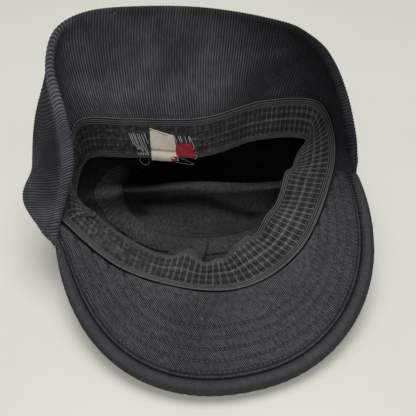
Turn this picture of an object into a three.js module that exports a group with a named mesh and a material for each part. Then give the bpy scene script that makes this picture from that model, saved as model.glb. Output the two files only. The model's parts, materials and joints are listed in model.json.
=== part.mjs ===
// Cadet cap with a knitted ear band, lying upside down on its crown.
// Millimetres, +Z up. The wearer's front is -Y, and the table is the plane z = 0.
import * as THREE from "three";

// Cloth thicknesses.
const CROWN_CLOTH = 1.5;
const VISOR_THICKNESS = 3.0;
const SWEATBAND_THICKNESS = 1.6;
const KNIT_THICKNESS = 3.4;
const LABEL_THICKNESS = 0.8;

// Clearances between sewn pieces.
const SEAM_GAP = 0.4;
const SWEATBAND_IN_FROM_RIM = 1.2;
const VISOR_OUT_FROM_RIM = 1.2;
const VISOR_ENDS_FURTHER_OUT = 1.6;
const CROWN_OUT_FROM_RIM = 0.8;
const CROWN_BELOW_RIM = 5.4;
const KNIT_OUT_FROM_RIM = 2.7;
const KNIT_BELOW_RIM = 3.1;
const FOOT_CLEARANCE = 0.05;

// How far an edge's rounding stands out past the last row of its faces.
const CLOTH_EDGE = 0.4;
const VISOR_EDGE = 1.2;
const KNIT_EDGE = 1.5;
const LABEL_EDGE = 0.1;

// Quads round each piece and across it.
const STEPS = {
  crownSide: { round: 30, across: 8 },
  crownTop: { round: 30, across: 14 },
  visor: { round: 44, across: 7 },
  sweatband: { round: 120, across: 3 },
  earBand: { round: 64, across: 10 },
  label: { round: 3, across: 4 },
};

// Half the distance over which a direction along a curve or a surface is measured.
const PLACE_STEP = 0.02;
const SURFACE_STEP = 0.004;

// Round the opening a place is a number from 0 at the front, over the right ear at 3
// and the nape at 6, to the left ear at 9. The rim is the seam where all pieces meet.
// There the sweatband starts, and slope and width say how it hangs into the opening.
const PLACES_ROUND = 12;
const RIM = [
  { at: 0, x: 0, y: -57, z: 27, slope: 15, width: 33 },
  { at: 1, x: 49, y: -41, z: 30, slope: 4, width: 31 },
  { at: 2, x: 87, y: 2, z: 44, slope: 14, width: 31 },
  { at: 3, x: 102, y: 36, z: 57, slope: 42, width: 31 },
  { at: 4, x: 99, y: 65, z: 66, slope: 78, width: 32 },
  { at: 5, x: 60, y: 73, z: 67, slope: 88, width: 33 },
  { at: 6, x: 11, y: 67, z: 64, slope: 88, width: 33 },
  { at: 7, x: -38, y: 77, z: 65, slope: 88, width: 33 },
  { at: 8, x: -74, y: 83, z: 65, slope: 88, width: 33 },
  { at: 9, x: -87, y: 50, z: 54, slope: 90, width: 31 },
  { at: 9.3, x: -90, y: 38, z: 49.5, slope: 68, width: 25 },
  { at: 9.5, x: -92, y: 30, z: 47, slope: 46, width: 23 },
  { at: 9.75, x: -94, y: 20, z: 43, slope: 24, width: 23 },
  { at: 10, x: -92, y: 10, z: 40, slope: 20, width: 28 },
  { at: 11, x: -56, y: -31, z: 28, slope: 26, width: 33 },
];

// The crown's side: how far outside the rim and how high its belly hangs, and where its
// foot meets the crown's top.
const CROWN_SIDE = [
  { at: 0, bellyOut: -20, bellyZ: 3, footX: 2, footY: 6 },
  { at: 1, bellyOut: -18, bellyZ: 4, footX: 40, footY: 8 },
  { at: 2, bellyOut: -6, bellyZ: 10, footX: 64, footY: 28 },
  { at: 3, bellyOut: 8, bellyZ: 22, footX: 72, footY: 50 },
  { at: 4, bellyOut: 14, bellyZ: 30, footX: 68, footY: 78 },
  { at: 5, bellyOut: 26, bellyZ: 30, footX: 45, footY: 94 },
  { at: 6, bellyOut: 26, bellyZ: 30, footX: 8, footY: 98 },
  { at: 7, bellyOut: 22, bellyZ: 30, footX: -28, footY: 97 },
  { at: 8, bellyOut: 20, bellyZ: 24, footX: -47, footY: 86 },
  { at: 9, bellyOut: 25, bellyZ: 12, footX: -52, footY: 64 },
  { at: 10, bellyOut: -3, bellyZ: 7, footX: -48, footY: 42 },
  { at: 11, bellyOut: -16, bellyZ: 4, footX: -32, footY: 19 },
];

// The ear band's middle line and folded edge, from the visor's right end to its left end.
const EAR_BAND = [
  { at: 2.3, midX: 99, midY: 10, midZ: 46, edgeX: 107, edgeY: 9, edgeZ: 44 },
  { at: 2.6, midX: 101, midY: 16, midZ: 64, edgeX: 95, edgeY: 4, edgeZ: 77 },
  { at: 3, midX: 102, midY: 33, midZ: 81, edgeX: 90, edgeY: 17, edgeZ: 100 },
  { at: 4, midX: 101, midY: 61, midZ: 91, edgeX: 89, edgeY: 45, edgeZ: 112 },
  { at: 4.5, midX: 90, midY: 75, midZ: 95, edgeX: 84, edgeY: 62, edgeZ: 116 },
  { at: 5, midX: 71, midY: 84, midZ: 95, edgeX: 73, edgeY: 80, edgeZ: 118 },
  { at: 6, midX: 15, midY: 90, midZ: 92, edgeX: 23, edgeY: 109, edgeZ: 121 },
  { at: 7, midX: -38, midY: 101, midZ: 93, edgeX: -32, edgeY: 121, edgeZ: 122 },
  { at: 7.5, midX: -63, midY: 107, midZ: 93, edgeX: -60, edgeY: 122, edgeZ: 120 },
  { at: 8, midX: -81, midY: 103, midZ: 91, edgeX: -78, edgeY: 109, edgeZ: 115 },
  { at: 8.5, midX: -93, midY: 83, midZ: 78, edgeX: -84, edgeY: 85, edgeZ: 104 },
  { at: 9, midX: -107, midY: 53, midZ: 55, edgeX: -80, edgeY: 47, edgeZ: 89 },
  { at: 9.5, midX: -113, midY: 34, midZ: 44, edgeX: -84, edgeY: 27, edgeZ: 67 },
  { at: 9.84, midX: -105, midY: 13, midZ: 36, edgeX: -102.5, edgeY: 5, edgeZ: 33 },
];

// Soft creases and bulges of the ear band: where they lie, how far they reach round the
// band and up its width (0 at the seam, 1 at the folded edge), and how far they stand out.
const EAR_BAND_FOLDS = [
  { at: 7.2, up: 0.2, reachRound: 0.9, reachUp: 0.1, out: 3 },
  { at: 5.6, up: 0.16, reachRound: 0.45, reachUp: 0.12, out: 3.5 },
  { at: 5.0, up: 0.48, reachRound: 0.4, reachUp: 0.14, out: 4 },
  { at: 4.9, up: 0.2, reachRound: 0.3, reachUp: 0.16, out: -5 },
  { at: 4.3, up: 0.2, reachRound: 0.2, reachUp: 0.2, out: 3 },
  { at: 6.6, up: 0.45, reachRound: 0.6, reachUp: 0.2, out: -2 },
  { at: 8.2, up: 0.6, reachRound: 0.3, reachUp: 0.3, out: 3 },
];

// Ripples of the sweatband's free edge, which its elastic gathers.
const RIPPLES = [
  { at: 0.05, reach: 0.16, lift: -2 },
  { at: 0.45, reach: 0.16, lift: 4 },
  { at: 0.8, reach: 0.16, lift: -3 },
  { at: 1.2, reach: 0.18, lift: 4 },
  { at: 1.6, reach: 0.18, lift: -3 },
  { at: 2.0, reach: 0.2, lift: 4 },
  { at: 2.5, reach: 0.2, lift: -2 },
  { at: 11.7, reach: 0.16, lift: 3 },
];

// The visor's outer edge: half an oval whose two sides differ a little, as it lies bent.
const VISOR = {
  middleX: 4, middleY: 7, reachForward: 114, frontZ: 5.5, dish: 3,
  right: { half: 104, power: 2.05, rise: 34, risePower: 1.0, startsAt: 2.2 },
  left: { half: 102, power: 2.25, rise: 21, risePower: 1.4, startsAt: -2.05 },
};

// The fold pushed up across the crown's top: how far back it lies between the front (0) and
// the back (1), how much further back it is at its left end than at its middle, how wide
// and high it is, and how far its crest leans to the front.
const TOP_FOLD = { at: 0.455, turn: 0.04, reach: 0.06, height: 20, lean: 12 };
const TOP_FOLD_CROWD = 0.6;
const TOP_INSET = 1.5;
const TOP_ENDS = 0.035;

// The crown's side seams, as places round the opening, and half the gap left at each.
const FRONT_SEAM = -0.05;
const NAPE_SEAM = 6;
const CROWN_SEAM = 0.007;

// Labels sewn on the sweatband at the nape: their places round it and down its width.
const CARE_LABEL = { from: 6.42, to: 6.75, top: 0.24, bottom: 1.06 };
const WOVEN_TAB = { from: 6.13, to: 6.4, top: 0.62, bottom: 1.04 };

const OUTLINE_MIDDLE = { x: -2.7, y: 8.1 };

const UP = new THREE.Vector3(0, 0, 1);

// A smooth curve through table rows: cubic pieces whose slope at a row is the slope
// between its two neighbours. With a period the rows close into a loop.
function curveThrough(rows, columns, period = 0) {
  const at = rows.map((row) => row.at);
  const values = rows.map((row) => columns.map((name) => row[name]));
  const last = rows.length - 1;
  const mirror = (end, next) => end.map((value, k) => 2 * value - next[k]);
  const places = period
    ? [at[last] - period, ...at, at[0] + period, at[1] + period]
    : [2 * at[0] - at[1], ...at, 2 * at[last] - at[last - 1]];
  const points = period
    ? [values[last], ...values, values[0], values[1]]
    : [mirror(values[0], values[1]), ...values, mirror(values[last], values[last - 1])];
  return (place) => {
    const u = period ? ((place % period) + period) % period : place;
    let i = 1;
    while (i < places.length - 3 && u >= places[i + 1]) i += 1;
    const span = places[i + 1] - places[i];
    const f = (u - places[i]) / span;
    const enter = span / (places[i + 1] - places[i - 1]);
    const leave = span / (places[i + 2] - places[i]);
    return columns.map((_, k) => {
      const slopeIn = (points[i + 1][k] - points[i - 1][k]) * enter;
      const slopeOut = (points[i + 2][k] - points[i][k]) * leave;
      return (2 * f ** 3 - 3 * f ** 2 + 1) * points[i][k] + (f ** 3 - 2 * f ** 2 + f) * slopeIn
        + (3 * f ** 2 - 2 * f ** 3) * points[i + 1][k] + (f ** 3 - f ** 2) * slopeOut;
    });
  };
}

const rimCurve = curveThrough(RIM, ["x", "y", "z"], PLACES_ROUND);
const bandCurve = curveThrough(RIM, ["slope", "width"], PLACES_ROUND);
const bellyCurve = curveThrough(CROWN_SIDE, ["bellyOut", "bellyZ"], PLACES_ROUND);
const footCurve = curveThrough(CROWN_SIDE, ["footX", "footY"], PLACES_ROUND);
const earCurve = curveThrough(EAR_BAND, ["midX", "midY", "midZ", "edgeX", "edgeY", "edgeZ"]);

const rim = (place) => new THREE.Vector3(...rimCurve(place));

// The level direction from the rim towards the middle of the opening.
function inwards(place) {
  const along = rim(place + PLACE_STEP).sub(rim(place - PLACE_STEP));
  return new THREE.Vector3(-along.y, along.x, 0).normalize();
}

const bell = (distance, reach) => Math.exp(-((distance / reach) ** 2));

// The shortest way round from one place to another.
function placeGap(a, b) {
  const gap = Math.abs(a - b) % PLACES_ROUND;
  return Math.min(gap, PLACES_ROUND - gap);
}

// The sweatband's middle: a strip that slopes from the rim into the opening, with ripples
// that grow towards its free edge. raised moves the point out of its inner face.
function sweatbandAt(place, across, raised = 0) {
  const [slope, width] = bandCurve(place);
  const angle = THREE.MathUtils.degToRad(slope);
  const inward = inwards(place);
  const down = inward.clone().multiplyScalar(Math.cos(angle)).addScaledVector(UP, -Math.sin(angle));
  const face = inward.clone().multiplyScalar(Math.sin(angle)).addScaledVector(UP, Math.cos(angle));
  const ripple = RIPPLES.reduce((sum, r) => sum + r.lift * bell(placeGap(place, r.at), r.reach), 0);
  return rim(place)
    .addScaledVector(inward, SWEATBAND_IN_FROM_RIM)
    .addScaledVector(UP, -SWEATBAND_THICKNESS / 2)
    .addScaledVector(down, width * across)
    .addScaledVector(face, ripple * across ** 2 + raised);
}

// The fold's share of its full height, from the front of the crown's top to its back and
// from its left edge (0) to its right edge (1).
function foldShare(back, across) {
  const middle = TOP_FOLD.at + TOP_FOLD.turn * (1 - 2 * across);
  return bell(back - middle, TOP_FOLD.reach);
}

// The seam between the crown's side and its top, which the fold lifts where it crosses.
function foot(place, inset = 0) {
  const [x, y] = footCurve(place);
  const [ax, ay] = footCurve(place - PLACE_STEP);
  const [bx, by] = footCurve(place + PLACE_STEP);
  const inward = new THREE.Vector3(ay - by, bx - ax, 0).normalize();
  const half = PLACES_ROUND / 2;
  const side = ((place % PLACES_ROUND) + PLACES_ROUND) % PLACES_ROUND < half ? 1 : 0;
  const share = foldShare(placeGap(place, 0) / half, side);
  const seam = new THREE.Vector3(x, y - TOP_FOLD.lean * share ** 2, TOP_FOLD.height * share);
  return seam.addScaledVector(inward, inset);
}

// The crown's side: from below the rim through a hanging belly to the foot.
function crownSideAt(place, down) {
  const [out, bellyZ] = bellyCurve(place);
  const inward = inwards(place);
  const top = rim(place).addScaledVector(inward, -CROWN_OUT_FROM_RIM).addScaledVector(UP, -CROWN_BELOW_RIM);
  const belly = rim(place).addScaledVector(inward, -out).setZ(bellyZ);
  const bottom = foot(place).addScaledVector(UP, CROWN_CLOTH / 2 + FOOT_CLEARANCE);
  return top.multiplyScalar((1 - down) ** 2)
    .addScaledVector(belly, 2 * down * (1 - down))
    .addScaledVector(bottom, down ** 2);
}

// The crown's top: straight lines from the left foot to the right foot, row behind row,
// with the fold's own lean in place of that of its two ends.
function crownTopAt(back, across) {
  const share = foldShare(back, across);
  const half = PLACES_ROUND / 2;
  const left = foot(PLACES_ROUND - half * back, TOP_INSET);
  const right = foot(half * back, TOP_INSET);
  const point = left.lerp(right, across);
  const ends = foldShare(back, 0) ** 2 * (1 - across) + foldShare(back, 1) ** 2 * across;
  point.y -= TOP_FOLD.lean * (share ** 2 - ends);
  return point.setZ(CROWN_CLOTH / 2 + TOP_FOLD.height * share);
}

// The visor's outer edge, from its left end (-1) over the front (0) to its right end (1).
function visorEdge(turn) {
  const side = turn < 0 ? VISOR.left : VISOR.right;
  const angle = Math.abs(turn) * Math.PI / 2;
  const sideways = Math.sign(turn) * side.half * Math.sin(angle) ** (2 / side.power);
  const forward = Math.max(Math.cos(angle), 0) ** (2 / side.power);
  const z = VISOR.frontZ + side.rise * (1 - forward) ** side.risePower;
  return new THREE.Vector3(VISOR.middleX + sideways, VISOR.middleY - VISOR.reachForward * forward, z);
}

// The visor's middle: from the rim to its outer edge, dished a little between them.
function visorAt(turn, forward) {
  const side = turn < 0 ? VISOR.left : VISOR.right;
  const place = Math.abs(turn) * side.startsAt;
  const out = VISOR_OUT_FROM_RIM + VISOR_ENDS_FURTHER_OUT * turn ** 4;
  const inner = rim(place).addScaledVector(inwards(place), -out).addScaledVector(UP, -VISOR_THICKNESS / 2);
  const dish = VISOR.dish * 4 * forward * (1 - forward) * (1 - turn ** 2);
  return inner.lerp(visorEdge(turn), forward).addScaledVector(UP, -dish);
}

// The ear band's middle: an arc from the seam through its middle line to its folded edge.
function earBandArc(place, up) {
  const [midX, midY, midZ, edgeX, edgeY, edgeZ] = earCurve(place);
  const seam = rim(place)
    .addScaledVector(inwards(place), -KNIT_OUT_FROM_RIM)
    .addScaledVector(UP, -KNIT_BELOW_RIM);
  return seam.multiplyScalar((1 - up) * (1 - 2 * up))
    .addScaledVector(new THREE.Vector3(midX, midY, midZ), 4 * up * (1 - up))
    .addScaledVector(new THREE.Vector3(edgeX, edgeY, edgeZ), up * (2 * up - 1));
}

// The direction square to a surface given by two numbers.
function squareTo(surface, a, b) {
  const alongA = surface(a + SURFACE_STEP, b).sub(surface(a - SURFACE_STEP, b));
  const alongB = surface(a, b + SURFACE_STEP).sub(surface(a, b - SURFACE_STEP));
  return alongA.cross(alongB).normalize();
}

function earBandAt(place, up) {
  const out = EAR_BAND_FOLDS.reduce((sum, fold) => (
    sum + fold.out * bell(place - fold.at, fold.reachRound) * bell(up - fold.up, fold.reachUp)
  ), 0);
  return earBandArc(place, up).addScaledVector(squareTo(earBandArc, place, up), -out);
}

// A closed sheet of cloth round the middle surface given by two numbers. Both faces lie half
// the thickness away, edge rounds the two long edges, and spread places the rows.
function sheet(surface, thickness, options) {
  const { round, across, steps, loop = false, edge = CLOTH_EDGE, spread = (t) => t } = options;
  const [aFrom, aTo] = round;
  const [bFrom, bTo] = across;
  const aSteps = steps.round;
  const bSteps = steps.across;
  const aCount = loop ? aSteps : aSteps + 1;
  const bCount = bSteps + 1;
  const ringLength = 2 * bCount + 2;
  const positions = [];
  for (let i = 0; i < aCount; i += 1) {
    const a = aFrom + (aTo - aFrom) * spread(i / aSteps);
    const middles = [];
    const squares = [];
    for (let j = 0; j < bCount; j += 1) {
      const b = bFrom + (bTo - bFrom) * (j / bSteps);
      middles.push(surface(a, b));
      squares.push(squareTo(surface, a, b));
    }
    const face = (side) => middles.map((point, j) => (
      point.clone().addScaledVector(squares[j], side * thickness / 2)
    ));
    const edgeAt = (end, inner) => {
      const outward = middles[end].clone().sub(middles[inner]).normalize();
      return middles[end].clone().addScaledVector(outward, edge);
    };
    const ring = [...face(1), edgeAt(bCount - 1, bCount - 2), ...face(-1).reverse(), edgeAt(0, 1)];
    ring.forEach((point) => positions.push(point.x, point.y, point.z));
  }
  const index = [];
  const vertex = (i, j) => (i % aCount) * ringLength + (j % ringLength);
  const strips = loop ? aCount : aCount - 1;
  for (let i = 0; i < strips; i += 1) {
    for (let j = 0; j < ringLength; j += 1) {
      index.push(vertex(i, j), vertex(i + 1, j), vertex(i + 1, j + 1));
      index.push(vertex(i, j), vertex(i + 1, j + 1), vertex(i, j + 1));
    }
  }
  if (!loop) {
    index.push(...endFaces(0, ringLength, bCount));
    index.push(...endFaces(aCount - 1, ringLength, bCount, true));
  }
  const geometry = new THREE.BufferGeometry();
  geometry.setAttribute("position", new THREE.Float32BufferAttribute(positions, 3));
  geometry.setIndex(index);
  geometry.computeVertexNormals();
  return geometry;
}

// One end of an open sheet: quads between its two faces and a triangle at each long edge.
function endFaces(ring, ringLength, bCount, flip = false) {
  const start = ring * ringLength;
  const triangles = [[bCount - 1, bCount, bCount + 1], [ringLength - 2, ringLength - 1, 0]];
  for (let front = 0; front < bCount - 1; front += 1) {
    const back = ringLength - 2 - front;
    triangles.push([front, front + 1, back - 1], [front, back - 1, back]);
  }
  return triangles.flatMap(([p, q, r]) => (flip ? [p, r, q] : [p, q, r])).map((corner) => start + corner);
}

const NIGHT_CLOTH = { color: 0x2c2e31, roughness: 0.9, metalness: 0 };
const KNIT_YARN = { color: 0x23272d, roughness: 0.95, metalness: 0 };
const BAND_ELASTIC = { color: 0x3b3d3a, roughness: 0.85, metalness: 0 };
const LABEL_CREAM = { color: 0xded0ac, roughness: 0.7, metalness: 0 };
const TAB_RED = { color: 0x8e1f2a, roughness: 0.7, metalness: 0 };

const cap = new THREE.Group();

function add(name, geometry, finish) {
  const mesh = new THREE.Mesh(geometry, new THREE.MeshStandardMaterial(finish));
  mesh.name = name;
  cap.add(mesh);
}

// The crown's side is two panels that meet at the front and at the nape.
function crownSide(from, to) {
  const round = [from + CROWN_SEAM, to - CROWN_SEAM];
  return sheet(crownSideAt, CROWN_CLOTH, { round, across: [0, 1], steps: STEPS.crownSide });
}

// Rows of the crown's top crowd together at its fold.
function crownTop() {
  const crowd = (t) => t - TOP_FOLD_CROWD * Math.sin(2 * Math.PI * (t - TOP_FOLD.at)) / (2 * Math.PI);
  const [first, last] = [crowd(0), crowd(1)];
  const spread = (t) => (crowd(t) - first) / (last - first);
  const round = [TOP_ENDS, 1 - TOP_ENDS];
  return sheet(crownTopAt, CROWN_CLOTH, { round, across: [0, 1], steps: STEPS.crownTop, spread });
}

// A label lies on the inner face of the sweatband, a gap away from it.
function label({ from, to, top, bottom }) {
  const raised = SWEATBAND_THICKNESS / 2 + SEAM_GAP + LABEL_THICKNESS / 2;
  const surface = (place, across) => sweatbandAt(place, across, raised);
  const options = { round: [from, to], across: [top, bottom], steps: STEPS.label, edge: LABEL_EDGE };
  return sheet(surface, LABEL_THICKNESS, options);
}

function visor() {
  const options = { round: [-1, 1], across: [0, 1], steps: STEPS.visor, edge: VISOR_EDGE };
  return sheet(visorAt, VISOR_THICKNESS, options);
}

function sweatband() {
  const options = { round: [0, PLACES_ROUND], across: [0, 1], steps: STEPS.sweatband, loop: true };
  return sheet(sweatbandAt, SWEATBAND_THICKNESS, options);
}

function earBand() {
  const round = [EAR_BAND[0].at, EAR_BAND.at(-1).at];
  return sheet(earBandAt, KNIT_THICKNESS, { round, across: [0, 1], steps: STEPS.earBand, edge: KNIT_EDGE });
}

add("crown_right_panel", crownSide(FRONT_SEAM, NAPE_SEAM), NIGHT_CLOTH);
add("crown_left_panel", crownSide(NAPE_SEAM, FRONT_SEAM + PLACES_ROUND), NIGHT_CLOTH);
add("crown_top_panel", crownTop(), NIGHT_CLOTH);
add("visor", visor(), NIGHT_CLOTH);
add("sweatband", sweatband(), BAND_ELASTIC);
add("ear_band", earBand(), KNIT_YARN);
add("care_label", label(CARE_LABEL), LABEL_CREAM);
add("woven_tab", label(WOVEN_TAB), TAB_RED);

// The origin is the middle of the cap's outline from above, on the table.
cap.position.set(-OUTLINE_MIDDLE.x, -OUTLINE_MIDDLE.y, 0);
cap.updateMatrixWorld(true);

export default cap;
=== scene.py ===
"""Looks of a cadet cap with a knitted ear band, lying upside down on its crown.

Shapes are worked out in millimetres in the maker's own frame, with the wearer's front
towards -Y and the table at z = 0, and go into the meshes in metres."""
import json

import bpy
import numpy as np
from mathutils import Vector
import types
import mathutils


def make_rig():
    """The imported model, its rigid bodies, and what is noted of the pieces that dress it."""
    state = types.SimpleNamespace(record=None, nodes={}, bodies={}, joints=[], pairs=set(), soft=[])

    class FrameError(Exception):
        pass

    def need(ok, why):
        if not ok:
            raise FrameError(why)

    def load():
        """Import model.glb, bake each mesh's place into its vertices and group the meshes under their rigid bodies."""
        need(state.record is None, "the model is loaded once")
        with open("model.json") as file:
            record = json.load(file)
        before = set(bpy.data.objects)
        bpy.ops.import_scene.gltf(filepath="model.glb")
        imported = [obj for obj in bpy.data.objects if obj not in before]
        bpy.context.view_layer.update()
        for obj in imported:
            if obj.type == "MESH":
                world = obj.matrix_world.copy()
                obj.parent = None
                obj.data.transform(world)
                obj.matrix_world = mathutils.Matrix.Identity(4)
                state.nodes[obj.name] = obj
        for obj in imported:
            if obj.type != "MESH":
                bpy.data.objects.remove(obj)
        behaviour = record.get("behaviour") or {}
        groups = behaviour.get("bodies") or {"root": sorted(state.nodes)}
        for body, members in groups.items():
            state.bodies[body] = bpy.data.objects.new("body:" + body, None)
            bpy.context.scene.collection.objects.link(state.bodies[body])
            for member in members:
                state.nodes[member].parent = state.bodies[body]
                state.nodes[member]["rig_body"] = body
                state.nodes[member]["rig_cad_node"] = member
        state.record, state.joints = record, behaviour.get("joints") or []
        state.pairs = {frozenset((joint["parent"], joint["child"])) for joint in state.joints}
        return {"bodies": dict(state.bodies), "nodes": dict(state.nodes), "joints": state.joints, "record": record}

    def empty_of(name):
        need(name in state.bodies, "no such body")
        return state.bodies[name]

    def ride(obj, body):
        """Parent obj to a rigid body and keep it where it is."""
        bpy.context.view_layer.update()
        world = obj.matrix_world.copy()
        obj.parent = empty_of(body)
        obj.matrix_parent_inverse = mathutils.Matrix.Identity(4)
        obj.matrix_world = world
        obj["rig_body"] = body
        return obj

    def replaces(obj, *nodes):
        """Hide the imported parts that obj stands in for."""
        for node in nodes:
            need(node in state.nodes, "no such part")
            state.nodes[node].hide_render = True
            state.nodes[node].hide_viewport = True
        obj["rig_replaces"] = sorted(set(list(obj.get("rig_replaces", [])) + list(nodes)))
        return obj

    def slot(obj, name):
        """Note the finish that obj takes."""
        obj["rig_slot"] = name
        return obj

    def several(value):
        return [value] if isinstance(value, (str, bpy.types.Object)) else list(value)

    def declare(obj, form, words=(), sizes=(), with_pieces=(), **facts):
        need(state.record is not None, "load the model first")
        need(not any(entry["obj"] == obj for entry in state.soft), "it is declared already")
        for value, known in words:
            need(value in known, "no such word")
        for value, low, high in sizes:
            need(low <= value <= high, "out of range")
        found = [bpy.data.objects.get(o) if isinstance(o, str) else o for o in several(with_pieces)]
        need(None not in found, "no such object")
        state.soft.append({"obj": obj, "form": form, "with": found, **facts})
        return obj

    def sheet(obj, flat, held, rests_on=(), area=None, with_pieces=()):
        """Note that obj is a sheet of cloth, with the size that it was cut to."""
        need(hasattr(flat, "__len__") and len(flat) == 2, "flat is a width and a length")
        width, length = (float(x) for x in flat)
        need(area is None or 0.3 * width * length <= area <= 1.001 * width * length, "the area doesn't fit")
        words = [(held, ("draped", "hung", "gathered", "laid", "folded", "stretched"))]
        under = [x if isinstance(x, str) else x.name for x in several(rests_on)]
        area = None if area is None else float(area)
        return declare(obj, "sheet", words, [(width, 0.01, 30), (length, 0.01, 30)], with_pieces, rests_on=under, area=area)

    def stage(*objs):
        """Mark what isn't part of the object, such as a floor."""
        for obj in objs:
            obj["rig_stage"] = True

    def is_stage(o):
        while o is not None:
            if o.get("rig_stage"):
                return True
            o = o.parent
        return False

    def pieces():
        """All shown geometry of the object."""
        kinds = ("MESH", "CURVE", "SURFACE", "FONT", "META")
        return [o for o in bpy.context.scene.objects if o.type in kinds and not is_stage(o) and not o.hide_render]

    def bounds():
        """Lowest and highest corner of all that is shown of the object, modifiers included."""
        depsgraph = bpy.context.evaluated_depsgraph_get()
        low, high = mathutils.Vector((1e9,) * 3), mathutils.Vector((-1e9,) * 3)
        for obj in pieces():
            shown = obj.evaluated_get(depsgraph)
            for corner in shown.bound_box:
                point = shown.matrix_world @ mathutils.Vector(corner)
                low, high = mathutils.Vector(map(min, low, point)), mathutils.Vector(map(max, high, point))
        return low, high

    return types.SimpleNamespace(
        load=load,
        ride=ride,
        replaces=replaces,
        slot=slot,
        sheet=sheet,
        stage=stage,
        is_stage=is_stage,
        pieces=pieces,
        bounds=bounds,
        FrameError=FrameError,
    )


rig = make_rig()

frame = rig.load()
cad_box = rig.bounds()

MM = 0.001
CAP_ORIGIN = np.array([-2.7, 8.1, 0.0])
UP = np.array([0.0, 0.0, 1.0])

# Cloth thicknesses and the clearances between sewn pieces.
CROWN_CLOTH = 1.5
VISOR_THICKNESS = 3.0
SWEATBAND_THICKNESS = 1.6
KNIT_THICKNESS = 3.4
LABEL_THICKNESS = 0.8
SWEATBAND_IN_FROM_RIM = 1.2
VISOR_OUT_FROM_RIM = 1.2
VISOR_ENDS_FURTHER_OUT = 1.6
CROWN_OUT_FROM_RIM = 0.8
CROWN_BELOW_RIM = 5.4
KNIT_OUT_FROM_RIM = 2.7
KNIT_BELOW_RIM = 3.1

# Round the opening a place is a number from 0 at the front, over the right ear at 3
# and the nape at 6, to the left ear at 9.
PLACES_ROUND = 12
RIM_COLUMNS = "at x y z slope width"
RIM = [
    (0, 0, -57, 27, 15, 33),
    (1, 49, -41, 30, 4, 31),
    (2, 87, 2, 44, 14, 31),
    (3, 102, 36, 57, 42, 31),
    (4, 99, 65, 66, 78, 32),
    (5, 60, 73, 67, 88, 33),
    (6, 11, 67, 64, 88, 33),
    (7, -38, 77, 65, 88, 33),
    (8, -74, 83, 65, 88, 33),
    (9, -87, 50, 54, 90, 31),
    (9.3, -90, 38, 49.5, 68, 25),
    (9.5, -92, 30, 47, 46, 23),
    (9.75, -94, 20, 43, 24, 23),
    (10, -92, 10, 40, 20, 28),
    (11, -56, -31, 28, 26, 33),
]

# The crown's side at the same places: its belly out from the rim, and its foot.
CROWN_COLUMNS = "at bellyOut bellyZ footX footY"
CROWN_SIDE = [
    (0, -20, 3, 2, 6),
    (1, -18, 4, 40, 8),
    (2, -6, 10, 64, 28),
    (3, 8, 22, 72, 50),
    (4, 14, 30, 68, 78),
    (5, 26, 30, 45, 94),
    (6, 26, 30, 8, 98),
    (7, 22, 30, -28, 97),
    (8, 20, 24, -47, 86),
    (9, 25, 12, -52, 64),
    (10, -3, 7, -48, 42),
    (11, -16, 4, -32, 19),
]

# The ear band's middle line and folded edge, from the visor's right end to its left end.
EAR_BAND_COLUMNS = "at midX midY midZ edgeX edgeY edgeZ"
EAR_BAND = [
    (2.3, 99, 10, 46, 107, 9, 44),
    (2.6, 101, 16, 64, 95, 4, 77),
    (3, 102, 33, 81, 90, 17, 100),
    (4, 101, 61, 91, 89, 45, 112),
    (4.5, 90, 75, 95, 84, 62, 116),
    (5, 71, 84, 95, 73, 80, 118),
    (6, 15, 90, 92, 23, 109, 121),
    (7, -38, 101, 93, -32, 121, 122),
    (7.5, -63, 107, 93, -60, 122, 120),
    (8, -81, 103, 91, -78, 109, 115),
    (8.5, -93, 83, 78, -84, 85, 104),
    (9, -107, 53, 55, -80, 47, 89),
    (9.5, -114, 33, 44, -82, 26, 67),
    (9.84, -105, 11, 36, -98, 6, 37),
    (10.02, -98, 3, 33, -98, 0, 30),
]

# Creases and bulges of the ear band: where they are, how far they reach and how far out.
EAR_FOLD_COLUMNS = "at up reachRound reachUp out"
EAR_FOLDS = [
    (7.2, 0.2, 0.9, 0.1, 3),
    (5.6, 0.16, 0.45, 0.12, 3.5),
    (5.0, 0.48, 0.4, 0.14, 4),
    (4.9, 0.2, 0.3, 0.16, -5),
    (4.3, 0.2, 0.2, 0.2, 3),
    (6.6, 0.45, 0.6, 0.2, -2),
    (8.2, 0.6, 0.3, 0.3, 3),
    (8.6, 0.5, 0.25, 0.3, -3),
    (9.1, 0.45, 0.2, 0.3, 2),
    (6.2, 0.75, 0.9, 0.08, 1.5),
]

# Over the left ear the ribs lean towards the front on their way to the fold.
RIB_LEAN = 0.42
RIB_LEAN_GROWS = (7.4, 8.8)
RIB_LEAN_ENDS = (8.9, 9.9)

# Ripples of the sweatband's free edge: how far each stands out of the strip, and how far
# it draws the edge back towards the rim.
RIPPLE_COLUMNS = "at reach lift draw"
RIPPLES = [
    (0.05, 0.16, -2, 0),
    (0.45, 0.16, 4, 0),
    (0.68, 0.1, 3, -1),
    (0.86, 0.12, -2, 0),
    (1.2, 0.18, 4, 0),
    (1.6, 0.18, -3, 0),
    (2.0, 0.2, 4, 0),
    (2.5, 0.2, -2, 0),
    (10.25, 0.45, 0, 6.5),
    (11.42, 0.13, 5, -4),
    (11.68, 0.13, -1, 3),
]
GATHER_AT = 11.42

# The visor: the middle of its oval outline, its reach, the height of its front edge, its dish,
# and the sizes of its right side (1) and its left side (-1).
VISOR_MIDDLE = (4, 7)
VISOR_FORWARD = 114
VISOR_FRONT_Z = 5.5
VISOR_DISH = 3
VISOR_SIDES = {
    1: {"half": 104, "power": 2.05, "rise": 34, "rise_power": 1.0, "starts_at": 2.2},
    -1: {"half": 102, "power": 2.25, "rise": 21, "rise_power": 1.4, "starts_at": -2.05},
}

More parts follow.
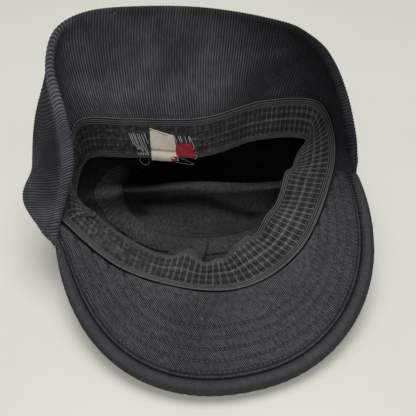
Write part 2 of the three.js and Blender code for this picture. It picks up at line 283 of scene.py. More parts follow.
# The fold across the crown's top. Away from its ends it is plumper, leans less, and its crest
# wanders up and down and back and forth.
TOP_FOLD = {"at": 0.455, "turn": 0.04, "reach": 0.06, "height": 20, "lean": 12, "crowd": 0.6}
PLUMP_FOLD = {
    "power": 2.2, "share": 0.8, "upright": 0.35, "shift": 0.012, "sway": 0.018, "wander": 0.06}
TOP_INSET = 1.5
TOP_ENDS = 0.035

# The painted shade of the crease before the fold: how far before the fold it lies, its drift towards the right, and
# its reach.
CREASE_BEFORE_FOLD = 0.068
CREASE_DRIFT = 0.09
CREASE_REACH = 0.028

# The two seams of the crown's sides, and the stitch rows beside them, as places.
FRONT_SEAM = -0.05
NAPE_SEAM = 6
BESIDE_SEAM = 0.07

# Small steps for slopes: along a curve round the opening, and on a surface.
PLACE_STEP = 0.02
SURFACE_STEP = 0.004

# The knit's ribs and loops, and the thick roll of its doubled edge beyond a groove.
KNIT_RIB = 1.85
KNIT_LOOP = 1.1
RIB_SAMPLES = 6
RIB_DEPTH = 0.42
ROLL_FROM = 0.955
ROLL_SWELL = 1.2
ROLL_GROOVE = 0.8
SLIM_END = 0.7

# The sweatband's weave: cords along its edges and rows of pockets between them. The cloth is
# pressed and blurred at the left front, and blurred at the nape.
EDGE_CORDS = 4.2
CORD_PITCH = 1.4
WAFFLE_ROWS = 4
WAFFLE_PITCH = 4.15
WAFFLE_SAMPLES = 7
WEAVE_DEPTH = 1.3
USUAL_WIDTH = 31
PRESSED_AT = 10.5
BLURRED_AT = 7.0

# The visor's rolled edge, its quilted rows, and the painted shade in the hollows that its
# stitches pull: how far from its outer edge, how wide and how dark.
ROLLED_EDGE = 6.4
QUILT_ROWS = (10.6, 16.6, 22.9, 29.2, 35.4)
PAINTED_HOLLOW_SHADE = [(6.9, 0.9, 0.88), (9.1, 0.8, 0.7)] + [(row, 1.1, 0.6) for row in QUILT_ROWS]
VISOR_HALF = VISOR_THICKNESS / 2 - 0.1

# The seam allowances inside the crown: round its foot, and the pinked flap of the front seam.
ALLOWANCE = 13
ALLOWANCE_LIFT = CROWN_CLOTH / 2 + 0.75
ALLOWANCE_HALF = 0.5
FLAP_FROM = -0.75
FLAP_DOWN = (0.42, 0.97)
FLAP_TEETH = 13
TOOTH_DEPTH = 0.045

# Stitches: their step and length, and their widths on the visor, the crown and the labels.
STITCH_PITCH = 2.9
STITCH_LENGTH = 2.3
VISOR_STITCH = 0.62
CROWN_STITCH = 0.55
LABEL_STITCH = 0.46

# A stitch is a rod of six sides: where its rings lie along it, how wide they are, and the two
# faces that close each end.
ROD_SIDES = 6
ROD_SPOTS = np.array([-0.5, -0.32, 0.32, 0.5])
ROD_SWELL = np.array([0.45, 1.0, 1.0, 0.45])
ROD_ENDS = np.array([[5, 2, 1, 0], [5, 4, 3, 2], [18, 19, 20, 23], [20, 21, 22, 23]])

# Corners of the labels on the sweatband, as places and shares of its width: on its right and
# left as the wearer looks back at them, top then bottom.
CARE_LABEL = [(6.38, 0.36), (6.71, 0.19), (6.333, 1.04), (6.72, 1.03)]
WOVEN_TAB = [(6.155, 0.59), (6.372, 0.575), (6.075, 0.99), (6.36, 0.9)]
TAB_TURN = [(6.345, 0.9), (6.445, 0.91), (6.35, 1.01), (6.43, 1.02)]
SEAM_GAP = 0.4
LABEL_FACING = (0.0, -1.0, 0.3)

# The view: what it looks at, in metres, its direction in degrees, and its focal length as
# pixels of a square frame.
VIEW_TARGET = (0.0027, -0.0081, 0.040)
VIEW_AZIMUTH = -14
VIEW_ELEVATION = 45
VIEW_DISTANCE = 0.305
FOCAL_PIXELS = 470
FRAME_PIXELS = 416
SENSOR_WIDTH = 36
TABLE_HALF = 4.0
SKY_COLOUR = (0.95, 0.97, 1.0, 1)
SKY_STRENGTH = 0.24
LIGHT_SIZE = 1.1
WINDOW_COLOUR = (1.0, 0.985, 0.95)


def column(names, rows, name):
    """One named column of a table, as an array."""
    return np.array([row[names.split().index(name)] for row in rows], float)


def columns(names, rows, wanted=None):
    """Several named columns of a table side by side, or all of them."""
    wanted = wanted or names
    return np.stack([column(names, rows, name) for name in wanted.split()], axis=-1)


def curve_through(at, values, period=0):
    """A smooth curve through table rows: cubic pieces whose slope at a row is the slope
    between its two neighbours. With a period the rows close into a loop."""
    at = np.asarray(at, float)
    values = np.asarray(values, float)
    if period:
        places = np.concatenate([[at[-1] - period], at, [at[0] + period, at[1] + period]])
        points = np.concatenate([values[-1:], values, values[:2]])
    else:
        places = np.concatenate([[2 * at[0] - at[1]], at, [2 * at[-1] - at[-2]]])
        points = np.concatenate(
            [[2 * values[0] - values[1]], values, [2 * values[-1] - values[-2]]]
        )

    def curve(place):
        u = np.asarray(place, float)
        if period:
            u = np.mod(u, period)
        i = np.searchsorted(places[1:-2], u, side="right")
        i = np.clip(i, 1, len(places) - 3)
        span = places[i + 1] - places[i]
        f = ((u - places[i]) / span)[..., None]
        enter = (span / (places[i + 1] - places[i - 1]))[..., None]
        leave = (span / (places[i + 2] - places[i]))[..., None]
        slope_in = (points[i + 1] - points[i - 1]) * enter
        slope_out = (points[i + 2] - points[i]) * leave
        return (
            (2 * f**3 - 3 * f**2 + 1) * points[i]
            + (f**3 - 2 * f**2 + f) * slope_in
            + (3 * f**2 - 2 * f**3) * points[i + 1]
            + (f**3 - f**2) * slope_out
        )

    return curve


def table_curve(names, rows, wanted, period=0):
    """The smooth curve through some columns of a table, over its at column."""
    return curve_through(column(names, rows, "at"), columns(names, rows, wanted), period)


rim = table_curve(RIM_COLUMNS, RIM, "x y z", PLACES_ROUND)
band_curve = table_curve(RIM_COLUMNS, RIM, "slope width", PLACES_ROUND)
belly_curve = table_curve(CROWN_COLUMNS, CROWN_SIDE, "bellyOut bellyZ", PLACES_ROUND)
foot_curve = table_curve(CROWN_COLUMNS, CROWN_SIDE, "footX footY", PLACES_ROUND)
ear_curve = table_curve(EAR_BAND_COLUMNS, EAR_BAND, "midX midY midZ edgeX edgeY edgeZ")


def unit(vectors):
    """Vectors divided by their length."""
    return vectors / np.maximum(np.linalg.norm(vectors, axis=-1, keepdims=True), 1e-9)


def bell(distance, reach):
    """A soft hump: exp(-(distance / reach)^2)."""
    return np.exp(-((distance / reach) ** 2))


def smooth(low, high, value):
    """0 below low, 1 above high, and an S-curve between them."""
    t = np.clip((value - low) / (high - low), 0, 1)
    return t * t * (3 - 2 * t)


def place_gap(a, b):
    """The shortest way round from one place to another."""
    gap = np.mod(np.abs(a - b), PLACES_ROUND)
    return np.minimum(gap, PLACES_ROUND - gap)


def inwards(place, curve=None):
    """The level direction from the rim, or another curve round the cap, towards its middle."""
    curve = curve or rim
    along = curve(place + PLACE_STEP) - curve(place - PLACE_STEP)
    return unit(np.stack([-along[..., 1], along[..., 0], 0 * along[..., 0]], axis=-1))


def square_to(surface, a, b):
    """The direction square to a surface given by two numbers."""
    along_a = surface(a + SURFACE_STEP, b) - surface(a - SURFACE_STEP, b)
    along_b = surface(a, b + SURFACE_STEP) - surface(a, b - SURFACE_STEP)
    return unit(np.cross(along_a, along_b))


def sweatband_middle(place, across):
    """A strip that slopes from the rim into the opening, with ripples towards its free edge."""
    place, across = np.broadcast_arrays(place, across)
    slope, width = np.moveaxis(band_curve(place), -1, 0)
    angle = np.radians(slope)[..., None]
    inward = inwards(place)
    down = inward * np.cos(angle) - UP * np.sin(angle)
    face = inward * np.sin(angle) + UP * np.cos(angle)
    ripple, drawn = 0, 0
    for at, reach, lift, draw in columns(RIPPLE_COLUMNS, RIPPLES):
        hump = bell(place_gap(place, at), reach)
        ripple = ripple + hump * lift
        drawn = drawn + hump * draw
    length = width * across - drawn * across**2
    start = rim(place) + inward * SWEATBAND_IN_FROM_RIM - UP * SWEATBAND_THICKNESS / 2
    return start + down * length[..., None] + face * (ripple * across**2)[..., None]


def fold_at(across):
    """Where the fold runs: a little further back on the left (across 0) than on the right (1)."""
    return TOP_FOLD["at"] + TOP_FOLD["turn"] * (1 - 2 * across)


def fold_share(back, across):
    """The fold's share of its full height, from the front of the crown's top to its back."""
    return bell(back - fold_at(across), TOP_FOLD["reach"])


def foot(place, inset=0.0):
    """The seam between the crown's side and its top, lifted where the fold crosses it."""
    spot = foot_curve(place)
    turn = np.mod(place, PLACES_ROUND)
    side = np.where(turn < PLACES_ROUND / 2, 1.0, 0.0)
    share = fold_share(place_gap(place, 0) / (PLACES_ROUND / 2), side)
    y = spot[..., 1] - TOP_FOLD["lean"] * share**2
    raised = np.stack([spot[..., 0], y, TOP_FOLD["height"] * share], axis=-1)
    return raised + inwards(place, foot_curve) * inset


def crown_side_middle(place, down):
    """From below the rim through a hanging belly to the foot, as a curve of three points."""
    place, down = np.broadcast_arrays(place, down)
    out, belly_z = np.moveaxis(belly_curve(place), -1, 0)
    inward = inwards(place)
    top = rim(place) - inward * CROWN_OUT_FROM_RIM - UP * CROWN_BELOW_RIM
    belly = rim(place) - inward * out[..., None]
    belly[..., 2] = belly_z
    bottom = foot(place) + UP * (CROWN_CLOTH / 2 + 0.05)
    t = down[..., None]
    return top * (1 - t) ** 2 + belly * 2 * t * (1 - t) + bottom * t**2


def crown_top_middle(back, across):
    """Straight lines from the left foot to the right foot, with the fold pushed up in them."""
    back, across = np.broadcast_arrays(back, across)
    half = PLACES_ROUND / 2
    left = foot(PLACES_ROUND - half * back, TOP_INSET)
    right = foot(half * back, TOP_INSET)
    share = fold_share(back, across)
    ends = fold_share(back, 0.0) ** 2 * (1 - across) + fold_share(back, 1.0) ** 2 * across
    inner = np.maximum(np.sin(np.pi * across), 0) ** 0.6
    moved = back + PLUMP_FOLD["shift"] - PLUMP_FOLD["sway"] * np.sin(across * 5 + 0.6)
    plump = 1 - (1 - fold_share(moved, across)) ** PLUMP_FOLD["power"]
    share = share + (plump - share) * inner * PLUMP_FOLD["share"]
    point = left + (right - left) * across[..., None]
    point[..., 1] -= TOP_FOLD["lean"] * (share**2 - ends) * (1 - PLUMP_FOLD["upright"] * inner)
    crest = TOP_FOLD["height"] * (1 + PLUMP_FOLD["wander"] * inner * np.sin(across * 6 - 1))
    point[..., 2] = CROWN_CLOTH / 2 + crest * share
    return point


def visor_value(turn, name):
    """A size of the visor's right or left side, by the sign of the turn."""
    return np.where(turn < 0, VISOR_SIDES[-1][name], VISOR_SIDES[1][name])


def visor_edge(turn):
    """The visor's outer edge from its left end (-1) to its right end (1): half an oval."""
    angle = np.abs(turn) * np.pi / 2
    power = visor_value(turn, "power")
    sideways = np.sign(turn) * visor_value(turn, "half") * np.sin(angle) ** (2 / power)
    forward = np.maximum(np.cos(angle), 0) ** (2 / power)
    rise = visor_value(turn, "rise") * np.maximum(1 - forward, 0) ** visor_value(turn, "rise_power")
    x = VISOR_MIDDLE[0] + sideways
    y = VISOR_MIDDLE[1] - VISOR_FORWARD * forward
    return np.stack([x, y, VISOR_FRONT_Z + rise], axis=-1)


def visor_middle(turn, forward):
    """From the rim to the visor's outer edge, dished a little between them."""
    turn, forward = np.broadcast_arrays(turn, forward)
    turn = np.clip(turn, -1, 1)
    place = np.abs(turn) * visor_value(turn, "starts_at")
    out = VISOR_OUT_FROM_RIM + VISOR_ENDS_FURTHER_OUT * turn**4
    inner = rim(place) - inwards(place) * out[..., None] - UP * VISOR_THICKNESS / 2
    dish = VISOR_DISH * 4 * forward * (1 - forward) * (1 - turn**2)
    edge = visor_edge(turn)
    return inner + (edge - inner) * forward[..., None] - UP * dish[..., None]


def ear_band_arc(place, up):
    """An arc from the seam through the middle line to the folded edge."""
    place, up = np.broadcast_arrays(place, up)
    row = ear_curve(place)
    seam = rim(place) - inwards(place) * KNIT_OUT_FROM_RIM - UP * KNIT_BELOW_RIM
    middle, edge = row[..., :3], row[..., 3:]
    t = up[..., None]
    return seam * (1 - t) * (1 - 2 * t) + middle * 4 * t * (1 - t) + edge * t * (2 * t - 1)


def ear_band_middle(place, up):
    """The arc with the knit's creases and bulges standing out from it."""
    out = sum(
        rise * bell(place - at, reach_round) * bell(up - height, reach_up)
        for at, height, reach_round, reach_up, rise in columns(EAR_FOLD_COLUMNS, EAR_FOLDS)
    )
    return ear_band_arc(place, up) - square_to(ear_band_arc, place, up) * out[..., None]


def ribbed_middle(place, up):
    """The ear band's surface, told by the place where a rib starts: the rib leans away from it
    towards the fold."""
    place, up = np.broadcast_arrays(place, up)
    lean = RIB_LEAN * smooth(*RIB_LEAN_GROWS, place) * (1 - smooth(*RIB_LEAN_ENDS, place))
    return ear_band_middle(place + lean * smooth(0.4, 1.0, up), up)


def lengths(points):
    """The running length along a line of points, starting at 0."""
    steps = np.linalg.norm(np.diff(points, axis=0), axis=-1)
    return np.concatenate([[0], np.cumsum(steps)])


def cut_size(surface, a, b):
    """The flat size that a cloth was cut to, in metres: its longest lines and its area."""
    points = surface(a[:, None], b[None, :]) * MM
    steps_a = np.linalg.norm(np.diff(points, axis=0), axis=-1)
    steps_b = np.linalg.norm(np.diff(points, axis=1), axis=-1)
    square = np.cross(points[1:, :-1] - points[:-1, :-1], points[:-1, 1:] - points[:-1, :-1])
    area = float(np.linalg.norm(square, axis=-1).sum())
    width, length = float(steps_a.sum(axis=0).max()), float(steps_b.sum(axis=1).max())
    return {"flat": (width, length), "area": min(area, width * length)}


def new_piece(name, points, faces, uv, material, slot):
    """A mesh object from points in millimetres, faces, and one UV pair for each face corner."""
    mesh = bpy.data.meshes.new(name)
    mesh.from_pydata(((points - CAP_ORIGIN) * MM).tolist(), [], faces)
    if uv is not None:
        layer = mesh.uv_layers.new(name="cloth")
        layer.data.foreach_set("uv", np.asarray(uv, float).ravel())
    mesh.polygons.foreach_set("use_smooth", [True] * len(mesh.polygons))
    mesh.materials.append(material)
    piece = bpy.data.objects.new(name, mesh)
    bpy.context.collection.objects.link(piece)
    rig.ride(piece, "root")
    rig.slot(piece, slot)
    return piece


def mark(piece, name, values):
    """A number for each point of a piece, which its material reads by name."""
    attribute = piece.data.attributes.new(name, "FLOAT", "POINT")
    attribute.data.foreach_set("value", values.ravel())


def grid_faces(count_round, count_ring, loop_round, u, v):
    """Quads of a grid whose second direction closes, with a UV pair at each corner."""
    strips = count_round if loop_round else count_round - 1
    i, j = np.meshgrid(np.arange(strips), np.arange(count_ring), indexing="ij")
    corners = [(i, j), (i + 1, j), (i + 1, j + 1), (i, j + 1)]
    quads = np.stack([(a % count_round) * count_ring + b % count_ring for a, b in corners], axis=-1)
    uv = np.stack([np.stack([u[a], v[b]], axis=-1) for a, b in corners], axis=-2)
    return quads.reshape(-1, 4), uv.reshape(-1, 4, 2)


def cloth(name, middle, places, rows, material, slot, half=0.75, nose=0.4, relief=None,
          loop=False, back_rows=None, arc=4, u=None, inner=1, marks=None):
    """A closed sheet of cloth round a middle surface: its faces lie half the thickness away on
    both sides, moved by a relief, and an arc that stands out by the nose rounds each long edge.
    Its material reads which face is inside, the way across, and the numbers that marks adds."""
    back_rows = rows if back_rows is None else back_rows
    angles = np.radians(np.linspace(90, -90, arc + 2)[1:-1])
    b = np.concatenate([rows, np.full(arc, rows[-1]), back_rows[::-1], np.full(arc, rows[0])])
    front, back = np.ones(len(rows)), np.ones(len(back_rows))
    side = np.concatenate([front, np.sin(angles), -back, -np.sin(angles)])
    out = np.concatenate([0 * front, np.cos(angles), 0 * back, -np.cos(angles)])
    a_grid, b_grid = np.broadcast_arrays(places[:, None], b[None, :])
    points = middle(a_grid, b_grid)
    normals = square_to(middle, a_grid, b_grid)
    across = unit(middle(a_grid, b_grid + SURFACE_STEP) - middle(a_grid, b_grid - SURFACE_STEP))
    raised = relief(a_grid, b_grid, side, points) if relief else np.zeros(a_grid.shape)
    offset = normals * (side * (half + raised))[..., None]
    points = points + (offset + across * (out * (nose + raised))[..., None])
    if u is None:
        u = lengths(middle(places, np.full(len(places), 0.5)))
        if loop:
            u = np.append(u, u[-1] + np.linalg.norm(points[0, 0] - points[-1, 0]))
    middle_column = points[len(places) // 2]
    v = lengths(np.concatenate([middle_column, middle_column[:1]]))
    quads, uv = grid_faces(len(places), len(b), loop, u, v)
    if not loop:
        ends, end_uv = end_quads(len(places), len(rows), arc, u, v)
        quads = np.concatenate([quads, ends])
        uv = np.concatenate([uv, end_uv])
    piece = new_piece(name, points.reshape(-1, 3), quads.tolist(), uv, material, slot)
    mark(piece, "inside", np.broadcast_to(inner * side * 0.5 + 0.5, a_grid.shape))
    mark(piece, "across", b_grid)
    for key, values in (marks or {}).items():
        mark(piece, key, values(a_grid, b_grid, side))
    return piece


def end_quads(count_round, row_count, arc, u, v):
    """Quads that close the two ends of an open sheet. Each end's ring is cut at the middles of
    its arcs, and the points of its two halves are joined in pairs."""
    second = 2 * row_count + arc
    ring = second + arc
    around = (np.arange(ring) + second + arc // 2) % ring
    front, back = around[: ring // 2], around[ring // 2:][::-1]
    quads = np.stack([front[:-1], front[1:], back[1:], back[:-1]], axis=-1)
    uv_first = np.stack([np.full(quads.shape, u[0]), v[quads]], axis=-1)
    uv_last = np.stack([np.full(quads.shape, u[count_round - 1]), v[quads]], axis=-1)
    last = quads[:, ::-1] + (count_round - 1) * ring
    return np.concatenate([quads, last]), np.concatenate([uv_first, uv_last[:, ::-1]])


def circle(sideways, upright, sides):
    """Points round a unit circle between two directions, for each of many centres."""
    turn = np.linspace(0, 2 * np.pi, sides, endpoint=False)[:, None]
    return sideways[:, None] * np.cos(turn) + upright[:, None] * np.sin(turn)


def tube(name, path, outward, radius, material, slot, sides=8, loop=False):
    """A cord along a path: a circle carried along it, its ends closed."""
    if loop:
        along = unit(np.roll(path, -1, axis=0) - np.roll(path, 1, axis=0))
    else:
        along = unit(np.gradient(path, axis=0))
    sideways = unit(np.cross(along, outward))
    points = path[:, None] + circle(sideways, np.cross(sideways, along), sides) * radius
    u = lengths(path)
    u = np.append(u, u[-1] + np.linalg.norm(path[0] - path[-1])) if loop else u
    v = np.linspace(0, 2 * np.pi, sides + 1) * radius
    quads, uv = grid_faces(len(path), sides, loop, u, v)
    faces = quads[:, ::-1].tolist()
    uv = uv[:, ::-1].reshape(-1, 2)
    if not loop:
        first = list(range(sides))
        last = [(len(path) - 1) * sides + k for k in range(sides)][::-1]
        faces += [first, last]
        uv = np.concatenate([uv, np.zeros((2 * sides, 2))])
    return new_piece(name, points.reshape(-1, 3), faces, uv, material, slot)


def stitches(name, middles, alongs, outwards, length, width, material, slot):
    """Many short threads: each is a rod whose ends taper, laid along a direction."""
    alongs = unit(alongs)
    sideways = unit(np.cross(alongs, outwards))
    ring = circle(sideways, np.cross(sideways, alongs), ROD_SIDES)[:, None]
    length = np.broadcast_to(length, len(middles))[:, None]
    points = middles[:, None, None] + ring * (ROD_SWELL * width / 2)[:, None, None]
    points = points + alongs[:, None, None] * (ROD_SPOTS * length)[..., None, None]
    near, step = np.arange(ROD_SIDES), ROD_SIDES
    after = (near + 1) % ROD_SIDES
    strip = np.stack([near, after, after + step, near + step], -1)
    rod = np.concatenate([strip, strip + step, strip + 2 * step, ROD_ENDS])
    faces = rod[None] + len(ROD_SPOTS) * step * np.arange(len(middles))[:, None, None]
    return new_piece(name, points.reshape(-1, 3), faces.reshape(-1, 4).tolist(), None, material, slot)


def stitch_line(surface, a, b, lift, pitch):
    """Even steps along a line on a surface, lift away from it (below zero on its other side):
    the stitches' middles, their directions and the directions that they face."""
    facing = square_to(surface, a, b) * np.sign(lift)
    points = surface(a, b) + facing * abs(lift)
    run = lengths(points)
    at = np.arange(pitch / 2, run[-1], pitch)

    def along(values, s):
        return np.stack([np.interp(s, run, values[:, k]) for k in range(3)], axis=-1)

    return along(points, at), along(points, at + 0.2) - along(points, at - 0.2), along(facing, at)


def sew(name, lines, length, width, material, slot):
    """One piece from all the stitches of several lines."""
    middles, alongs, facings = (np.concatenate(values) for values in zip(*lines))
    return stitches(name, middles, alongs, facings, length, width, material, slot)


class Value:
    """A shader socket that Python's operators work on: each one adds a Math node."""

    def __init__(self, finish, socket):
        self.finish = finish
        self.socket = socket

    def math(self, operation, *others):
        """A Math node of this value and the others."""
        values = {i: value for i, value in enumerate((self, *others))}
        return self.finish.node("ShaderNodeMath", {"operation": operation}, values)

    def __add__(self, other):
        return self.math("ADD", other)

    def __sub__(self, other):
        return self.math("SUBTRACT", other)

    def __mul__(self, other):
        return self.math("MULTIPLY", other)

    def __rsub__(self, other):
        return self.finish.node("ShaderNodeMath", {"operation": "SUBTRACT"}, {0: other, 1: self})

    __radd__ = __add__
    __rmul__ = __mul__


class Finish:
    """A procedural material round one Principled shader."""

    def __init__(self, name, **settings):
        self.material = bpy.data.materials.new(name)
        self.material.use_nodes = True
        self.tree = self.material.node_tree
        self.shader = self.tree.nodes["Principled BSDF"]
        for key, value in settings.items():
            self.shader.inputs[key.replace("_", " ")].default_value = value

    def node(self, kind, settings=None, values=None, output=0):
        """One node: its settings are set first, then the values or links of its sockets."""
        node = self.tree.nodes.new(kind)
        for key, value in (settings or {}).items():
            setattr(node, key, value)
        for key, value in (values or {}).items():
            self.join(value, node.inputs[key])
        return Value(self, node.outputs[output])

    def join(self, value, socket):
        """Links a socket to a value, or sets its number or its colour, a tuple of three."""
        if isinstance(value, Value):
            self.tree.links.new(value.socket, socket)
        else:
            socket.default_value = (*value, 1.0) if isinstance(value, tuple) else value

    def parts(self, vector):
        """The three numbers of a vector."""
        node = self.tree.nodes.new("ShaderNodeSeparateXYZ")
        self.join(vector, node.inputs[0])
        return [Value(self, output) for output in node.outputs]

    def uv(self):
        """The cloth's own coordinates in millimetres: along and across."""
        return self.parts(self.node("ShaderNodeUVMap", {"uv_map": "cloth"}))[:2]

    def object_place(self):
        """The place in the object, in metres."""
        return self.node("ShaderNodeTexCoord", output="Object")

    def attribute(self, name):
        """The number that a piece's points are marked with under a name."""
        return self.node("ShaderNodeAttribute", {"attribute_name": name}, output=2)

    def vector(self, x, y):
        """A vector of two values."""
        return self.node("ShaderNodeCombineXYZ", values={0: x, 1: y, 2: 0.0})

    def noise(self, vector, scale, detail=2.0, roughness=0.5):
        """Soft noise from 0 to 1."""
        values = {"Vector": vector, "Scale": scale, "Detail": detail, "Roughness": roughness}
        return self.node("ShaderNodeTexNoise", {}, values)

    def spots(self, scale, low, high, detail=3.0, roughness=0.5):
        """Soft spots from 0 to 1 all over the object: noise stretched between two levels."""
        return self.range(self.noise(self.object_place(), scale, detail, roughness), low, high)

    def fuzz(self, scale):
        """The finest spots: the hairs of the yarn."""
        return self.spots(scale, 0.3, 0.7, roughness=0.7)

    def range(self, value, from_low, from_high, to_low=0.0, to_high=1.0):
        """A value carried from one range to another, and kept inside it."""
        values = {0: value, 1: from_low, 2: from_high, 3: to_low, 4: to_high}
        return self.node("ShaderNodeMapRange", {}, values)

    def mix(self, factor, first, second):
        """A mix of two colours."""
        return self.node("ShaderNodeMix", {"data_type": "RGBA"}, {0: factor, 6: first, 7: second}, 2)

    def bump(self, height, distance, strength):
        """A Bump node over a height in metres times distance."""
        values = {"Height": height, "Distance": distance, "Strength": strength}
        return self.node("ShaderNodeBump", {}, values)

    def wear(self, colour, roughness=None, normal=None):
        """Joins what varies to the shader's own sockets."""
        for key, value in (("Base Color", colour), ("Roughness", roughness), ("Normal", normal)):
            if value is not None:
                self.join(value, self.shader.inputs[key])
        return self.material


def shaded(colour, share):
    """A colour made darker or lighter by a share."""
    return tuple(share * part for part in colour)


def sine(value, pitch):
    """A wave from 0 to 1 that repeats after the pitch."""
    return (value * (2 * np.pi / pitch)).math("SINE") * 0.5 + 0.5


def ridge(value, pitch):
    """Rounded ridges from 0 to 1, one to a pitch, with narrow valleys: |sin|."""
    return (value * (np.pi / pitch)).math("SINE").math("ABSOLUTE")


def knit_yarn():
    """Ribbed knit: rib crests catch the light, valleys stay dark, and loops and lint break them.
    Painted shade darkens its top, its right and the upper part of its outer face, whose lower part is painted a little
    lighter; its roll has a painted highlight at the left and painted shade elsewhere. Patches of its own tone vary it."""
    f = Finish("knit yarn", Roughness=0.95, Specular_IOR_Level=0.12, Sheen_Weight=0.04)
    along, across = f.uv()
    x, _, z = f.parts(f.object_place())
    crest = ridge(along, KNIT_RIB)
    loop = sine(across + crest * 0.5, KNIT_LOOP)
    patches = f.spots(30.0, 0.35, 0.65)
    fuzz = f.fuzz(1500.0)
    streak = f.range(f.noise(f.vector(along * 1.1, across * 0.12), 1.0), 0.3, 0.7)
    lint = f.spots(420.0, 0.74, 0.8, detail=1.0)
    outer = f.attribute("inside")
    fold = f.range(f.attribute("across"), 0.93, 0.97)
    left = f.range(x, -0.07, -0.03, 1.0, 0.0)
    # Painted shade, darker towards the top and towards the right, times patches of the yarn's own tone.
    painted_light_and_tone = f.range(z, 0.1, 0.116, 1.0, 0.6) * f.range(x, 0.02, 0.065, 1.0, 0.46)
    painted_light_and_tone = painted_light_and_tone * (patches * 0.6 + 0.65)
    # Painted shade on the outer face: darker higher up, a little lighter low down.
    painted_light_and_tone = painted_light_and_tone * (1 - outer * f.range(z, 0.045, 0.07, -0.1, 0.7) * (1 - fold))
    # Painted highlight on the roll at the left, painted shade on it elsewhere.
    painted_light_and_tone = painted_light_and_tone + fold * (left * 0.4 - 0.15)
    shade = (crest * crest * (0.24 + streak * 0.45) + fuzz * 0.2 + loop * 0.08 - 0.02) * painted_light_and_tone
    colour = f.mix(f.range(shade, 0.0, 1.0), (0.0035, 0.0042, 0.006), (0.16, 0.164, 0.185))
    colour = f.mix(lint * 0.35, colour, (0.22, 0.22, 0.23))
    height = crest * 0.5 + loop * 0.3 + fuzz * 0.4
    return f.wear(colour, f.range(fuzz, 0.0, 1.0, 0.85, 1.0), f.bump(height, 0.0005, 0.8))


def twill(name, dark, light, pitch, sewn=False, painted_nape_shade=None):
    """Twill cloth: raised diagonal ribs of short floats, rubbed light on their crests. Sewn cloth
    is the visor's: its ribs run along x - 2.8 x x + 0.42 y + 0.5 x (y + 0.08) = a constant, in
    metres, without the second term at the left. Elsewhere they follow the cloth's own
    coordinates. With a painted nape shade, its inner face is painted darker towards the nape,
    by two shares: in the middle and at the left. This painted shade stands for the shadow deep
    inside the crown's back, and with it the cloth is also painted darker where its crease shade
    marks it."""
    f = Finish(name, Roughness=0.9, Specular_IOR_Level=0.03 if painted_nape_shade else 0.12)
    x, y, z = f.parts(f.object_place())
    if sewn:
        right = x.math("MAXIMUM", 0.0)
        diagonal = (x - right * right * 2.8 + y * 0.42 + x * (y + 0.08) * 0.5) * 1000
        length = (y - x * 0.42 + z) * 1000
    else:
        along, across = f.uv()
        diagonal = along * 0.75 + across * 0.66
        length = across * 0.75 - along * 0.66
    crest = ridge(diagonal, pitch)
    floats = f.range(f.noise(f.vector(diagonal * 0.6, length * 0.2), 1.0, 2.0, 0.6), 0.3, 0.7)
    weft = sine(length + diagonal * 0.4, 0.9)
    patches = f.spots(24.0, 0.35, 0.65, detail=4.0)
    fuzz = f.fuzz(1700.0)
    lint = f.spots(380.0, 0.75, 0.8, detail=1.0)
    shade = crest * crest * crest * (0.3 + floats * 0.7) + fuzz * 0.12 + weft * 0.05
    shade = shade * (patches * 0.4 + 0.8) - 0.03
    if sewn:
        shade = sewn_shade(f, shade, x, floats)
    # Painted shade inside the crown's back: the inner face is darker behind the fold, by a share in the middle and one
    # at the left, less at the right higher up.
    if painted_nape_shade:
        middle, left = painted_nape_shade
        share = f.range(x, -0.062, -0.04, left, middle)
        share = share * (1 - f.range(x, 0.04, 0.055, 0.0, 0.35) * f.range(z, 0.025, 0.04))
        shade = shade * (1 - f.attribute("inside") * share * f.range(y, 0.036, 0.046))
        # Painted shade along the crease before the fold.
        shade = shade * (1 - f.attribute("crease_shade") * 0.8)
    colour = f.mix(f.range(shade, 0.0, 1.0), dark, light)
    colour = f.mix(lint * 0.3, colour, shaded(light, 1.6))
    height = crest * 0.6 + floats * 0.3 + fuzz * 0.3
    return f.wear(colour, f.range(fuzz, 0.0, 1.0, 0.8, 1.0), f.bump(height, 0.0003, 0.8))


def sewn_shade(f, shade, x, floats):
    """The visor's painted shade: darker towards its two ends and in the hollows of its stitches.
    Along the rolled edge the twill is softened under a finer grain, and painted shading makes the
    roll lighter along its middle than at its sides."""
    gap = f.attribute("from_edge")
    rolled = f.range(gap, ROLLED_EDGE - 0.8, ROLLED_EDGE, 1.0, 0.0)
    # Painted shade towards the visor's two ends.
    shade = shade * f.range(x, 0.04, 0.1, 1.0, 0.84) * f.range(x, -0.1, -0.05, 0.92, 1.0)
    grain = ridge(gap + floats * 0.7, 0.85)
    # Painted shading across the roll: lighter along its middle than at its sides.
    painted_roll_shade = ridge(gap, ROLLED_EDGE) * 0.5 + 0.5
    shade = shade * (1 - rolled * 0.55) + rolled * (grain * 0.15 + 0.1)
    shade = shade * (1 - rolled + rolled * painted_roll_shade)
    # Painted shade in the stitch hollows.
    for row, reach, depth in PAINTED_HOLLOW_SHADE:
        shade = shade * (1 - f.range((gap - row).math("ABSOLUTE"), 0.2 * reach, reach, depth, 0.0))
    return shade


def elastic(name, dark, light):
    """Woven elastic: the raised cords and rungs are light, and its pockets are dark."""
    f = Finish(name, Roughness=0.9, Specular_IOR_Level=0.12, Sheen_Weight=0.03)
    along, across = f.uv()
    thread = ridge(across, 0.62) * (0.4 + sine(along, 0.8) * 0.6)
    patches = f.spots(34.0, 0.35, 0.65)
    fuzz = f.fuzz(1600.0)
    shade = f.attribute("raised") * (0.6 + thread * 0.1 + fuzz * 0.5) * (0.75 + patches * 0.4)
    colour = f.mix(f.range(shade + fuzz * 0.06, 0.0, 1.0), dark, light)
    return f.wear(colour, None, f.bump(thread * 0.5 + fuzz * 0.4, 0.0003, 0.8))


